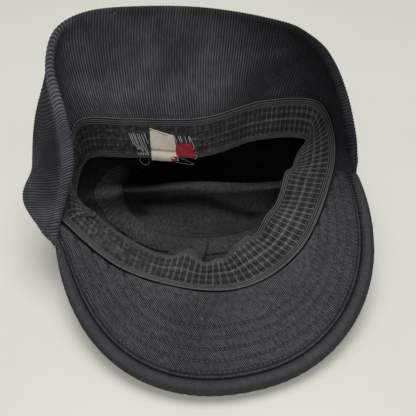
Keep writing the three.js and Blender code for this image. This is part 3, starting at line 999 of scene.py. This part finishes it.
def thread_finish(name, colour, painted_nape_shade=0.0):
    """Twisted sewing thread. With a painted nape shade it is painted darker towards the nape, as painted shade inside
    the crown's back.
    """
    f = Finish(name, Roughness=0.8, Specular_IOR_Level=0.04)
    _, y, _ = f.parts(f.object_place())
    twist = f.spots(1900.0, 0.35, 0.65, detail=2.0)
    # Painted shade towards the nape.
    painted_light_and_tone = f.range(y, 0.03, 0.046, 1.0, 1.0 - painted_nape_shade)
    tone = f.mix(painted_light_and_tone, shaded(colour, 0.02), f.mix(twist, shaded(colour, 0.45), colour))
    return f.wear(tone, None, f.bump(twist, 0.0001, 0.6))


def ribbon(name, colour, stain, creases=()):
    """Woven label ribbon, softly stained, with a darker line across it at each crease: how far
    down its face, how wide, in millimetres, and its colour."""
    f = Finish(name, Roughness=0.75)
    along, across = f.uv()
    weave = sine(along, 0.7) * 0.5 + sine(across, 0.62) * 0.5
    patches = f.spots(190.0, 0.4, 0.7)
    fuzz = f.spots(1500.0, 0.3, 0.7)
    tone = f.mix(patches * 0.6, colour, stain)
    tone = f.mix(weave * 0.2 + fuzz * 0.2, tone, shaded(colour, 0.6))
    for place, reach, shade in creases:
        ragged = across + patches * 1.2 + sine(along, 11.0) * 0.8
        near = f.range((ragged - place).math("ABSOLUTE"), 0.2 * reach, reach, 0.85, 0.0)
        tone = f.mix(near, tone, shade)
    return f.wear(tone, None, f.bump(weave * 0.5 + fuzz * 0.5, 0.0002, 0.5))


def table_top():
    """The pale plain table."""
    f = Finish("pale table", Roughness=0.55)
    grain = f.noise(f.object_place(), 9.0, 3.0)
    return f.wear(f.mix(grain, (0.685, 0.68, 0.615), (0.74, 0.735, 0.67)))


YARN = knit_yarn()
VISOR_TWILL = twill(
    "visor twill", (0.0035, 0.004, 0.0055), (0.148, 0.151, 0.164), pitch=1.02, sewn=True)
CROWN_TWILL = twill(
    "crown twill", (0.0022, 0.0024, 0.0028), (0.1, 0.101, 0.105), pitch=0.9, painted_nape_shade=(1.0, 0.6))
ALLOWANCE_TWILL = twill(
    "seam allowance twill", (0.004, 0.0043, 0.005), (0.135, 0.135, 0.137), pitch=0.9,
    painted_nape_shade=(1.0, 0.1))
FOOT_TWILL = twill(
    "foot allowance twill", (0.003, 0.0032, 0.004), (0.135, 0.135, 0.138), pitch=0.9,
    painted_nape_shade=(1.0, 0.0))
ELASTIC = elastic("band elastic", (0.0042, 0.0047, 0.0053), (0.17, 0.175, 0.17))
PALE_THREAD = thread_finish("pale thread", (0.85, 0.85, 0.87))
LOOSE_THREAD = thread_finish("loose thread", (0.42, 0.42, 0.42))
CLOTH_THREAD = thread_finish("cloth thread", (0.075, 0.077, 0.082), 0.92)
WELT_CLOTH = thread_finish("welt cloth", (0.03, 0.031, 0.033), 0.92)
SEAM_CLOTH = thread_finish("seam cloth", (0.034, 0.035, 0.037))
FOOT_WELT = thread_finish("foot welt", (0.085, 0.086, 0.088), 0.97)
YARN_END = thread_finish("yarn end", (0.025, 0.026, 0.03))
VISOR_THREAD = thread_finish("visor thread", (0.115, 0.118, 0.13))
PIPING = thread_finish("piping thread", (0.16, 0.158, 0.138))
# The cream ribbon's first darker line is painted shade along its folded top; the second is a brown line along its
# crease.
CREAM = ribbon(
    "cream ribbon", (0.9, 0.83, 0.7), (0.78, 0.68, 0.52),
    [(1.0, 1.5, (0.25, 0.24, 0.18)), (17.0, 1.8, (0.6, 0.4, 0.24))])
RED = ribbon(
    "red ribbon", (0.42, 0.022, 0.04), (0.3, 0.016, 0.03), [(0.4, 0.8, (0.16, 0.01, 0.015))])


def ear_band():
    """The knit: ribs run from the seam to the fold, as ridges of |sin| section. Beyond a groove
    on its outer face the doubled edge is a thick roll, which slims at its right end."""
    fine = np.linspace(EAR_BAND[0][0] - 0.12, EAR_BAND[-1][0], 2000)
    run = lengths(ribbed_middle(fine, np.full(len(fine), 0.5)))
    ribs = round(run[-1] / KNIT_RIB)
    u = np.linspace(0, ribs * KNIT_RIB, ribs * RIB_SAMPLES + 1)
    places = np.interp(u, run * (ribs * KNIT_RIB / run[-1]), fine)
    rows = np.concatenate([np.linspace(0, 0.9, 14), np.linspace(0.92, 1, 11)])

    def relief(place, up, side, points):
        phase = np.interp(place, places, u) / KNIT_RIB
        rib = -RIB_DEPTH * (1 - np.abs(np.sin(np.pi * phase)) ** 0.8)
        outer = ROLL_SWELL * smooth(ROLL_FROM, ROLL_FROM + 0.02, up)
        outer = outer - ROLL_GROOVE * bell(up - ROLL_FROM, 0.01)
        inner = ROLL_SWELL * smooth(0.6, 1.0, up)
        slim = smooth(fine[0], fine[0] + 0.3, place)
        return rib + np.where(side > 0, outer, inner) * slim - SLIM_END * (1 - slim)

    piece = cloth(
        "ear_band_knit", ribbed_middle, places, rows, YARN, "knit_yarn",
        half=KNIT_THICKNESS / 2, nose=2.2, relief=relief, arc=6, u=u,
    )
    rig.replaces(piece, "ear_band")
    size = cut_size(ear_band_middle, fine[::10], np.linspace(0, 1, 30))
    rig.sheet(piece, held="folded", rests_on=["crown_right_cloth", "crown_left_cloth"], **size)
    frayed_end()


def frayed_end():
    """Short broken yarn ends round the knit's left tip, turned every way."""
    rng = np.random.default_rng(5)
    count = 26
    up = rng.uniform(0.3, 1.0, count)
    base = ear_band_middle(np.full(count, EAR_BAND[-1][0]), up)
    turn = rng.uniform(0, 2 * np.pi, count)
    level = [0.5 * np.cos(turn), 0.6 * np.sin(turn) - 0.5]
    along = np.stack([*level, rng.uniform(-0.9, 0.3, count)], axis=-1)
    length = rng.uniform(1.5, 3.6, count)
    middles = base + unit(along) * (0.4 * length)[:, None]
    stitches("ear_band_frayed_end", middles, along, UP + 0.1, length, 0.32, YARN_END, "knit_yarn")


def waffle_places():
    """Places round the sweatband, some to a cell, closer where its elastic is gathered."""
    fine = np.linspace(0, PLACES_ROUND, 4001)
    run = lengths(sweatband_middle(fine, np.full(len(fine), 0.5)))
    pitch = WAFFLE_PITCH - 0.8 * bell(place_gap(fine, 7), 2.6)
    pitch = pitch - 0.5 * bell(place_gap(fine, 10.7), 0.6)
    step = np.diff(run) / (0.5 * (pitch[1:] + pitch[:-1]))
    phase = np.concatenate([[0], np.cumsum(step)])
    cells = round(phase[-1])
    phase = phase * cells / phase[-1]
    wanted = np.arange(cells * WAFFLE_SAMPLES) / WAFFLE_SAMPLES
    return np.interp(wanted, phase, fine), wanted, cells


def chance(i, j):
    """A number from 0 to 1 for each cell, the same on every run: the fraction of a large sine."""
    value = np.sin(i * 12.9898 + j * 78.233) * 43758.5453
    return value - np.floor(value)


def sweatband():
    """Elastic with three cords along each edge and four rows of pockets between them. A pocket
    holds two puffs and is framed by cords and thin rungs, whose section is a power of the way
    from the pocket's middle. Pressed or blurred cloth has short light dashes instead."""
    places, phase, cells = waffle_places()
    edge = np.linspace(0, EDGE_CORDS / USUAL_WIDTH, 18)
    rows = np.concatenate([edge, np.linspace(edge[-1], 1 - edge[-1], 34)[1:-1], 1 - edge[::-1]])

    def weave(place, across):
        """How high the cloth stands, and how light its yarn is, both from 0 to 1."""
        width = band_curve(place)[..., 1]
        at = across * width
        from_edge = np.minimum(at, width - at)
        cell = (width - 2 * EDGE_CORDS) / WAFFLE_ROWS
        over = (at - EDGE_CORDS) / cell
        turn = np.interp(place, np.append(places, PLACES_ROUND), np.append(phase, cells))
        pressed = bell(place_gap(place, PRESSED_AT), 0.8)
        turn = turn + 0.8 * pressed * (over - 2)
        luck = chance(np.round(turn), np.floor(over))
        in_row, in_cell = over - np.floor(over), turn - np.floor(turn)
        from_row = np.minimum(in_row, 1 - in_row) * cell
        blurred = np.maximum(0.85 * pressed, bell(place_gap(place, BLURRED_AT), 1.7))
        corner = (np.abs(2 * in_row - 1) / 0.88) ** 4 + (np.abs(2 * in_cell - 1) / 0.84) ** 4
        frame = smooth(0.6, 1.1, corner)
        beads = 0.5 + 0.5 * np.cos(np.pi * in_cell) ** 2 * (0.4 + 0.6 * luck)
        gap = 1 - 0.6 * bell(from_row, 0.16)
        lit = frame * beads * gap * (1 - blurred * (0.75 - 0.75 * luck**2))
        puff = np.abs(np.sin(2 * np.pi * in_row)) * np.sin(np.pi * in_cell) ** 2
        height = np.maximum(frame * (0.7 + 0.3 * beads), 0.5 * puff)
        dash = chance(np.round(2 * turn), np.floor(3 * over)) * np.abs(np.sin(3 * np.pi * over))
        tone = np.maximum(lit, (0.14 + 0.22 * luck) * puff)
        # Painted shade: the dashes are darker at the back on the left.
        dashes = (0.12 + 1.0 * dash**2) * (1 - 0.5 * bell(place_gap(place, 8), 1.0))
        tone = np.maximum(tone, blurred * dashes)
        tone = tone * (1 - 0.14 * pressed - 0.1 * bell(place_gap(place, 0), 1.0))
        cord = np.abs(np.sin(np.pi * from_edge / CORD_PITCH))
        inside = from_edge > EDGE_CORDS
        height = np.where(inside, height, 0.1 + 0.9 * cord**0.6)
        return height, np.where(inside, tone, 0.85 * cord**3)

    def relief(place, across, side, points):
        gather = 0.35 * np.sin(2 * np.pi * place / 0.034) * bell(place_gap(place, GATHER_AT), 0.09)
        raised = WEAVE_DEPTH * (weave(place, across)[0] - 0.75) + gather * across**2
        return np.where(side > 0.5, raised, 0)

    def yarn_tone(place, across, side):
        return np.where(side > -1, np.clip(weave(place, across)[1], 0, 1), 0.5)

    piece = cloth(
        "sweatband_elastic", sweatband_middle, places, rows, ELASTIC, "band_elastic",
        half=SWEATBAND_THICKNESS / 2, nose=0.5, relief=relief, loop=True,
        back_rows=np.linspace(0, 1, 9), u=np.append(phase, cells) * 4,
        marks={"raised": yarn_tone},
    )
    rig.replaces(piece, "sweatband")
    size = cut_size(sweatband_middle, np.linspace(0, PLACES_ROUND, 300), np.linspace(0, 1, 12))
    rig.sheet(piece, held="gathered", rests_on=["crown_right_cloth", "crown_left_cloth"], **size)


def edge_distance(points):
    """How far points lie from the visor's outer edge."""
    edge = visor_edge(np.linspace(-1, 1, 700))
    flat = points.reshape(-1, 3)
    nearest = np.full(len(flat), 1e9)
    for start in range(0, len(edge), 50):
        gap = np.linalg.norm(flat[:, None] - edge[None, start:start + 50], axis=-1).min(axis=1)
        nearest = np.minimum(nearest, gap)
    return nearest.reshape(points.shape[:-1])


def visor():
    """A stiff brim: a rolled edge, a groove inside it, and quilted rows with soft swells between."""
    turns = np.sin(np.linspace(-np.pi / 2, np.pi / 2, 321))
    turns = 0.5 * turns + 0.5 * np.linspace(-1, 1, 321)
    rows = np.concatenate([np.linspace(0, 0.8, 76), np.linspace(0.806, 1, 34)])
    from_edge = []

    def relief(turn, forward, side, points):
        gap = edge_distance(points)
        from_edge.append(gap)
        pucker = 1 + 0.12 * np.sin(turn * 190 + 2 * np.sin(turn * 37))
        roll = 0.95 * pucker * np.sin(np.pi * np.clip(gap / ROLLED_EDGE, 0, 1)) ** 0.6
        past = gap - ROLLED_EDGE
        groove = -1.2 * bell(past - 0.5, 0.65) - 0.4 * bell(past - 2.6, 0.5)
        quilt = sum(-0.55 * bell(gap - row, 0.75) for row in QUILT_ROWS)
        waves = 0.18 * np.sin(turn * 15 + gap * 0.24) * smooth(8, 12, gap)
        return roll + groove + quilt + waves

    piece = cloth(
        "visor_brim", visor_middle, turns, rows, VISOR_TWILL, "visor_cloth",
        half=VISOR_HALF, nose=1.5, relief=relief, arc=6,
    )
    mark(piece, "from_edge", from_edge[0])
    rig.replaces(piece, "visor")
    quilting()


def quilting():
    """The visor's rows of stitches on both faces, each at its own distance from the outer edge,
    and a last one beside the groove of the rolled edge."""
    turns = np.linspace(-0.985, 0.985, 440)
    forwards = np.linspace(0.02, 0.99, 130)
    gap = edge_distance(visor_middle(turns[:, None], forwards[None, :]))
    lines = []
    for row, sunk in [(row, 0.3) for row in QUILT_ROWS] + [(ROLLED_EDGE + 1.6, 0.35)]:
        past = (gap > row).sum(axis=1)
        keep = (past > 0) & (past < len(forwards))
        k = np.arange(len(turns))[keep]
        before, after = gap[k, past[keep] - 1], gap[k, past[keep]]
        share = (before - row) / (before - after)
        forward = forwards[past[keep] - 1] + share * (forwards[1] - forwards[0])
        for face in (-1, 1):
            lift = face * (VISOR_HALF - sunk)
            lines.append(stitch_line(visor_middle, turns[keep], forward, lift, STITCH_PITCH))
    sew("visor_stitching", lines, STITCH_LENGTH, VISOR_STITCH, VISOR_THREAD, "visor_cloth")


def side_length(place):
    """How long the crown's side is, from its top to its foot."""
    points = crown_side_middle(np.asarray(place, float)[:, None], np.linspace(0, 1, 12)[None, :])
    return np.linalg.norm(np.diff(points, axis=1), axis=-1).sum(axis=1)


SIDE_LENGTH = curve_through(
    np.arange(PLACES_ROUND), side_length(np.arange(PLACES_ROUND))[:, None], PLACES_ROUND)


def wrinkles(place, down, side, points):
    """Soft creases of the crown's cloth: crossing waves, and slanting folds with rounded backs that
    fade towards the seams."""
    x, y, z = np.moveaxis(points, -1, 0)
    wave = np.sin(x / 9 + y / 14) * 0.25 + np.sin(y / 7 - z / 9 + 2) * 0.2
    fold = np.abs(np.sin(place * 4.1 + down * 2.6)) ** 0.7
    fold = fold + 0.6 * np.abs(np.sin(place * 6.7 - down * 3.4)) ** 0.7
    fade = smooth(0.12, 0.4, down) * (1 - smooth(0.75, 0.97, down))
    return side * (wave * 0.8 + (fold - 0.9) * 0.9 * fade)


def top_wrinkles(back, across, side, points):
    """Soft creases of the crown's top: three crossing waves."""
    x, y, _ = np.moveaxis(points, -1, 0)
    wave = np.sin(x / 9 + y / 14) * 0.22 + np.sin(y / 6 - x / 11 + 2) * 0.16
    return side * (wave + np.sin(x / 4 + y / 23) * 0.08)


def top_crease_shade(back, across, side):
    """How deep the painted shade of the crown's top is: along a crease before the fold, which
    drifts forward towards the right, and in the corner at the fold's left end."""
    crease = fold_at(across) - CREASE_BEFORE_FOLD - CREASE_DRIFT * smooth(0.35, 0.85, across)
    ends = smooth(0, 0.1, across) * (1 - smooth(0.85, 1, across))
    corner = bell(back - 0.36, 0.05) * bell(across - 0.06, 0.07)
    return np.maximum(bell(back - crease, CREASE_REACH) * ends, corner)


def crown():
    """The crown's two side panels and its top, whose rows crowd together at the fold."""
    for name, node, start, end in (
        ("crown_right_cloth", "crown_right_panel", FRONT_SEAM, NAPE_SEAM),
        ("crown_left_cloth", "crown_left_panel", NAPE_SEAM, FRONT_SEAM + PLACES_ROUND),
    ):
        panel = cloth(
            name, crown_side_middle, np.linspace(start, end, 240), np.linspace(0, 1, 50),
            CROWN_TWILL, "cap_cloth", half=CROWN_CLOTH / 2, relief=wrinkles,
        )
        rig.replaces(panel, node)
        size = cut_size(crown_side_middle, np.linspace(start, end, 100), np.linspace(0, 1, 14))
        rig.sheet(panel, held="laid", rests_on=["crown_top_cloth"], **size)
    t = np.linspace(0, 1, 180)
    wave = t - TOP_FOLD["crowd"] * np.sin(2 * np.pi * (t - TOP_FOLD["at"])) / (2 * np.pi)
    spread = (wave - wave[0]) / (wave[-1] - wave[0])
    backs = TOP_ENDS + (1 - 2 * TOP_ENDS) * spread
    # The top carries the painted crease shade under its fold.
    top = cloth(
        "crown_top_cloth", crown_top_middle, backs, np.linspace(0, 1, 110), CROWN_TWILL, "cap_cloth",
        half=CROWN_CLOTH / 2, relief=top_wrinkles, inner=-1, marks={"crease_shade": top_crease_shade},
    )
    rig.replaces(top, "crown_top_panel")
    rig.sheet(top, held="folded", **cut_size(crown_top_middle, backs, np.linspace(0, 1, 40)))


def allowance_middle(place, across):
    """The seam allowance of the crown's foot, pressed up against the inside of its side."""
    place, across = np.broadcast_arrays(place, across)
    down = 1 - ALLOWANCE * (1 - across) / SIDE_LENGTH(place)[..., 0]
    crumple = 0.5 * np.sin(place * 23 + across * 4) * np.sin(place * 9 - across * 7 + 1)
    crumple = crumple + 0.3 * np.sin(place * 51 + across * 13)
    lift = ALLOWANCE_LIFT + (0.35 + crumple) * (1 - across)
    facing = square_to(crown_side_middle, place, down)
    return crown_side_middle(place, down) + facing * lift[..., None]


def flap_middle(place, down):
    """The front seam's allowance: it lies on the crown's inside and curls up towards its raw edge."""
    place, down = np.broadcast_arrays(place, down)
    share = np.clip((place - FLAP_FROM) / (flap_edge(down) - FLAP_FROM), 0, 1.2)
    lift = ALLOWANCE_LIFT + 0.4 + 0.7 * smooth(0, 0.3, share) + 2.2 * share**3
    facing = square_to(crown_side_middle, place, down)
    return crown_side_middle(place, down) + facing * lift[..., None]


def flap_edge(down):
    """Where the front allowance's raw edge runs, as a place: straight, from behind to the middle."""
    return 0.8 * (down - 1.0)


def front_allowance():
    """The front seam's allowance with its pinked edge, a zigzag of small teeth."""
    def middle(share, down):
        teeth = np.abs(np.mod(down * FLAP_TEETH / (FLAP_DOWN[1] - FLAP_DOWN[0]), 1) - 0.5) * 2
        edge = flap_edge(down) + TOOTH_DEPTH * (teeth - 0.5)
        return flap_middle(FLAP_FROM + (edge - FLAP_FROM) * share, down)

    shares = np.concatenate([np.linspace(0, 0.85, 22), np.linspace(0.88, 1, 8)])
    cloth("front_seam_allowance", middle, shares, np.linspace(*FLAP_DOWN, 160), ALLOWANCE_TWILL,
          "cap_cloth", half=0.45, nose=0.2)


def seam_trim():
    """The allowance round the crown's foot, welts over the seams, and the rows of stitches."""
    places = np.linspace(0, PLACES_ROUND, 720, endpoint=False)
    cloth("foot_seam_allowance", allowance_middle, places, np.linspace(0, 1, 14), FOOT_TWILL,
          "cap_cloth", half=ALLOWANCE_HALF, nose=0.25, loop=True)
    seam = foot(places, 0.9) + UP
    tube("crown_foot_welt", seam, UP, 0.95, FOOT_WELT, "cap_cloth", loop=True)
    down = np.linspace(0.1, 0.97, 60)
    outside = -(CROWN_CLOTH / 2 + 0.15)
    lines = []
    for name, seam_place in (("front_seam_welt", FRONT_SEAM), ("nape_seam_welt", NAPE_SEAM)):
        line = np.full(len(down), float(seam_place))
        facing = square_to(crown_side_middle, line, down)
        tube(name, crown_side_middle(line, down), facing, 1.1, SEAM_CLOTH, "cap_cloth")
        for beside in (line - BESIDE_SEAM, line + BESIDE_SEAM):
            for lift in (outside, -outside):
                lines.append(stitch_line(crown_side_middle, beside, down, lift, STITCH_PITCH))
    round_it = np.linspace(0, PLACES_ROUND, 500)
    low = 1 - 3.5 / SIDE_LENGTH(round_it)[..., 0]
    lines.append(stitch_line(crown_side_middle, round_it, low, outside, STITCH_PITCH))
    for across in (0.1, 0.24, 0.93):
        line = np.full(len(round_it), across)
        lift = ALLOWANCE_HALF + 0.12
        lines.append(stitch_line(allowance_middle, round_it, line, lift, STITCH_PITCH))
    sew("crown_stitching", lines, STITCH_LENGTH, CROWN_STITCH, CLOTH_THREAD, "cap_cloth")


def label(name, corners, material, slot, node=None, lift=0.0, crease=0.0, swell=0.0):
    """A label on the inner face of the sweatband: straight lines between its four corners, lifted
    off the elastic, with a crease across it and a swell below the crease."""
    top_right, top_left, low_right, low_left = np.array(corners, float)
    lift = SWEATBAND_THICKNESS / 2 + SEAM_GAP + LABEL_THICKNESS / 2 + lift

    def middle(s, t):
        s, t = np.broadcast_arrays(s, t)
        s, t = s[..., None], t[..., None]
        top = top_right * (1 - s) + top_left * s
        low = low_right * (1 - s) + low_left * s
        place, across = np.moveaxis(top * (1 - t) + low * t, -1, 0)
        face = square_to(sweatband_middle, place, across)
        return sweatband_middle(place, across) + face * lift

    def relief(s, t, side, points):
        wave = 0.25 * np.sin(s * 5 + t * 6) + 0.12 * np.sin(s * 17 - t * 9)
        return side * (wave - crease * bell(t - 0.68, 0.05) + swell * bell(t - 0.86, 0.11))

    s, t = np.linspace(0, 1, 30), np.linspace(0, 1, 44)
    half = LABEL_THICKNESS / 2
    piece = cloth(name, middle, s, t, material, slot, half=half, nose=0.25, relief=relief)
    if node:
        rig.replaces(piece, node)
        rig.sheet(piece, held="hung", rests_on=["sweatband_elastic"], **cut_size(middle, s, t))


def on_band(rows, lift):
    """Points on the inner face of the sweatband from rows of place and share of its width."""
    place, across = np.array(rows, float).T
    return sweatband_middle(place, across) + square_to(sweatband_middle, place, across) * lift


def label_threads():
    """The pale hand stitches that hold the labels: slanting pairs on both sides, a knotted row
    below them, one long thread down the tab's side, and two loose ends."""
    lift = SWEATBAND_THICKNESS / 2 + 0.75
    i, j, k = np.arange(8), np.arange(6), np.arange(10)
    wobble = chance(i, 3.0) - 0.5
    side_top = np.stack([7.045 - 0.034 * i + 0.008 * wobble, 0.31 + 0.07 * wobble], axis=-1)
    side_low = side_top + np.stack([-0.062 - 0.01 * wobble, 0.38 + 0.12 * wobble], axis=-1)
    knot_top = np.stack([6.95 - 0.034 * j, 0.62 + 0.02 * j], axis=-1)
    knot_low = knot_top + np.stack([-0.03 + 0.02 * (j % 2), 0.13 + 0.02 * chance(j, 5.0)], axis=-1)
    bar_top = np.stack([6.93 - 0.019 * k, 0.84 + 0.012 * (k % 2)], axis=-1)
    bar_low = bar_top + np.stack([-0.012 + 0.024 * (k % 2), np.full(10, 0.06)], axis=-1)
    right_top = np.array([(6.375, 0.37), (6.322, 0.37), (6.298, 0.37), (6.236, 0.385), (6.185, 0.38)])
    right_low = right_top + np.array([-0.03, 0.18])
    starts = on_band(np.concatenate([side_top, knot_top, bar_top, right_top]), lift)
    ends = on_band(np.concatenate([side_low, knot_low, bar_low, right_low]), lift)
    along = ends - starts
    reach = np.linalg.norm(along, axis=-1)
    stitches("label_stitches", (starts + ends) / 2, along, LABEL_FACING, reach, LABEL_STITCH,
             PALE_THREAD, "label_ribbon")
    runs = {
        "label_thread": [
            (6.175, 0.39), (6.14, 0.52), (6.107, 0.69), (6.124, 0.75), (6.11, 0.86), (6.066, 0.96),
            (6.1, 1.02)],
        "loose_thread_left": [
            (6.9, 0.96), (6.915, 1.07), (6.88, 1.17), (6.82, 1.2), (6.77, 1.13), (6.775, 1.02)],
        "loose_thread_right": [
            (6.39, 1.1), (6.25, 1.15), (6.13, 1.19), (6.12, 1.17), (6.2, 1.08), (6.29, 1.01)],
    }
    for name, rows in runs.items():
        loose = name.startswith("loose")
        height, radius, finish = (0.8, 0.15, LOOSE_THREAD) if loose else (1.5, 0.24, PALE_THREAD)
        curve = curve_through(np.arange(len(rows)), np.array(rows))
        path = on_band(curve(np.linspace(0, len(rows) - 1, 60)), height)
        tube(name, path, LABEL_FACING, radius, finish, "label_ribbon", sides=6)


def rim_trim():
    """The welt inside the rim seam, and the piping along the sweatband's upper edge."""
    places = np.linspace(0, PLACES_ROUND, 480, endpoint=False)
    inward = inwards(places)
    welt = rim(places) - inward * 0.6 - UP * 3.2
    tube("rim_welt", welt, UP, 1.5, WELT_CLOTH, "cap_cloth", loop=True)
    piping = rim(places) + inward * 1.1 - UP * 0.1
    tube("rim_piping", piping, UP, 0.4, PIPING, "band_elastic", loop=True)


def camera():
    """The photograph's view: 45 degrees down, 14 degrees round to the wearer's right."""
    lens = bpy.data.cameras.new("view")
    lens.lens = SENSOR_WIDTH * FOCAL_PIXELS / FRAME_PIXELS
    lens.sensor_width = SENSOR_WIDTH
    lens.clip_start = 0.01
    eye = bpy.data.objects.new("view", lens)
    azimuth, elevation = np.radians(VIEW_AZIMUTH), np.radians(VIEW_ELEVATION)
    level = np.cos(elevation)
    back = Vector((np.sin(azimuth) * level, -np.cos(azimuth) * level, np.sin(elevation)))
    eye.location = Vector(VIEW_TARGET) + back * VIEW_DISTANCE
    eye.rotation_euler = (-back).to_track_quat("-Z", "Y").to_euler()
    bpy.context.collection.objects.link(eye)
    bpy.context.scene.camera = eye


def area_light(name, place, target, power, colour=(1, 1, 1)):
    """A soft square light that looks at a point."""
    light = bpy.data.lights.new(name, "AREA")
    light.shape = "SQUARE"
    light.size = LIGHT_SIZE
    light.energy = power
    light.color = colour
    lamp = bpy.data.objects.new(name, light)
    lamp.location = place
    lamp.rotation_euler = (Vector(target) - Vector(place)).to_track_quat("-Z", "Y").to_euler()
    bpy.context.collection.objects.link(lamp)


def studio():
    """A pale table, a pale sky and soft lights."""
    mesh = bpy.data.meshes.new("table_top")
    corners = [(x * TABLE_HALF, y * TABLE_HALF, 0) for x, y in ((-1, -1), (1, -1), (1, 1), (-1, 1))]
    mesh.from_pydata(corners, [], [(0, 1, 2, 3)])
    mesh.materials.append(table_top())
    floor = bpy.data.objects.new("table_top", mesh)
    bpy.context.collection.objects.link(floor)
    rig.stage(floor)
    world = bpy.data.worlds.new("sky")
    world.use_nodes = True
    world.node_tree.nodes["Background"].inputs[0].default_value = SKY_COLOUR
    world.node_tree.nodes["Background"].inputs[1].default_value = SKY_STRENGTH
    bpy.context.scene.world = world
    area_light("window", (-0.3, -1.15, 1.1), (0, 0, 0.03), power=11.5, colour=WINDOW_COLOUR)
    area_light("ceiling", (0.1, 0.45, 1.4), (0, 0.1, 0.03), power=14.0)
    bpy.context.scene.view_settings.view_transform = "Standard"


camera()
studio()
ear_band()
sweatband()
visor()
crown()
label("care_label_ribbon", CARE_LABEL, CREAM, "label_ribbon", "care_label", crease=0.7, swell=1.0)
label("woven_tab_ribbon", WOVEN_TAB, RED, "tab_ribbon", "woven_tab", swell=0.4)
label("woven_tab_turn", TAB_TURN, RED, "tab_ribbon", lift=1.1)
label_threads()
rim_trim()
seam_trim()
front_allowance()

size_file = {"cad": [list(corner) for corner in cad_box], "visual": [list(corner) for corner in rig.bounds()]}
json.dump(size_file, open("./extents.json", "w"))
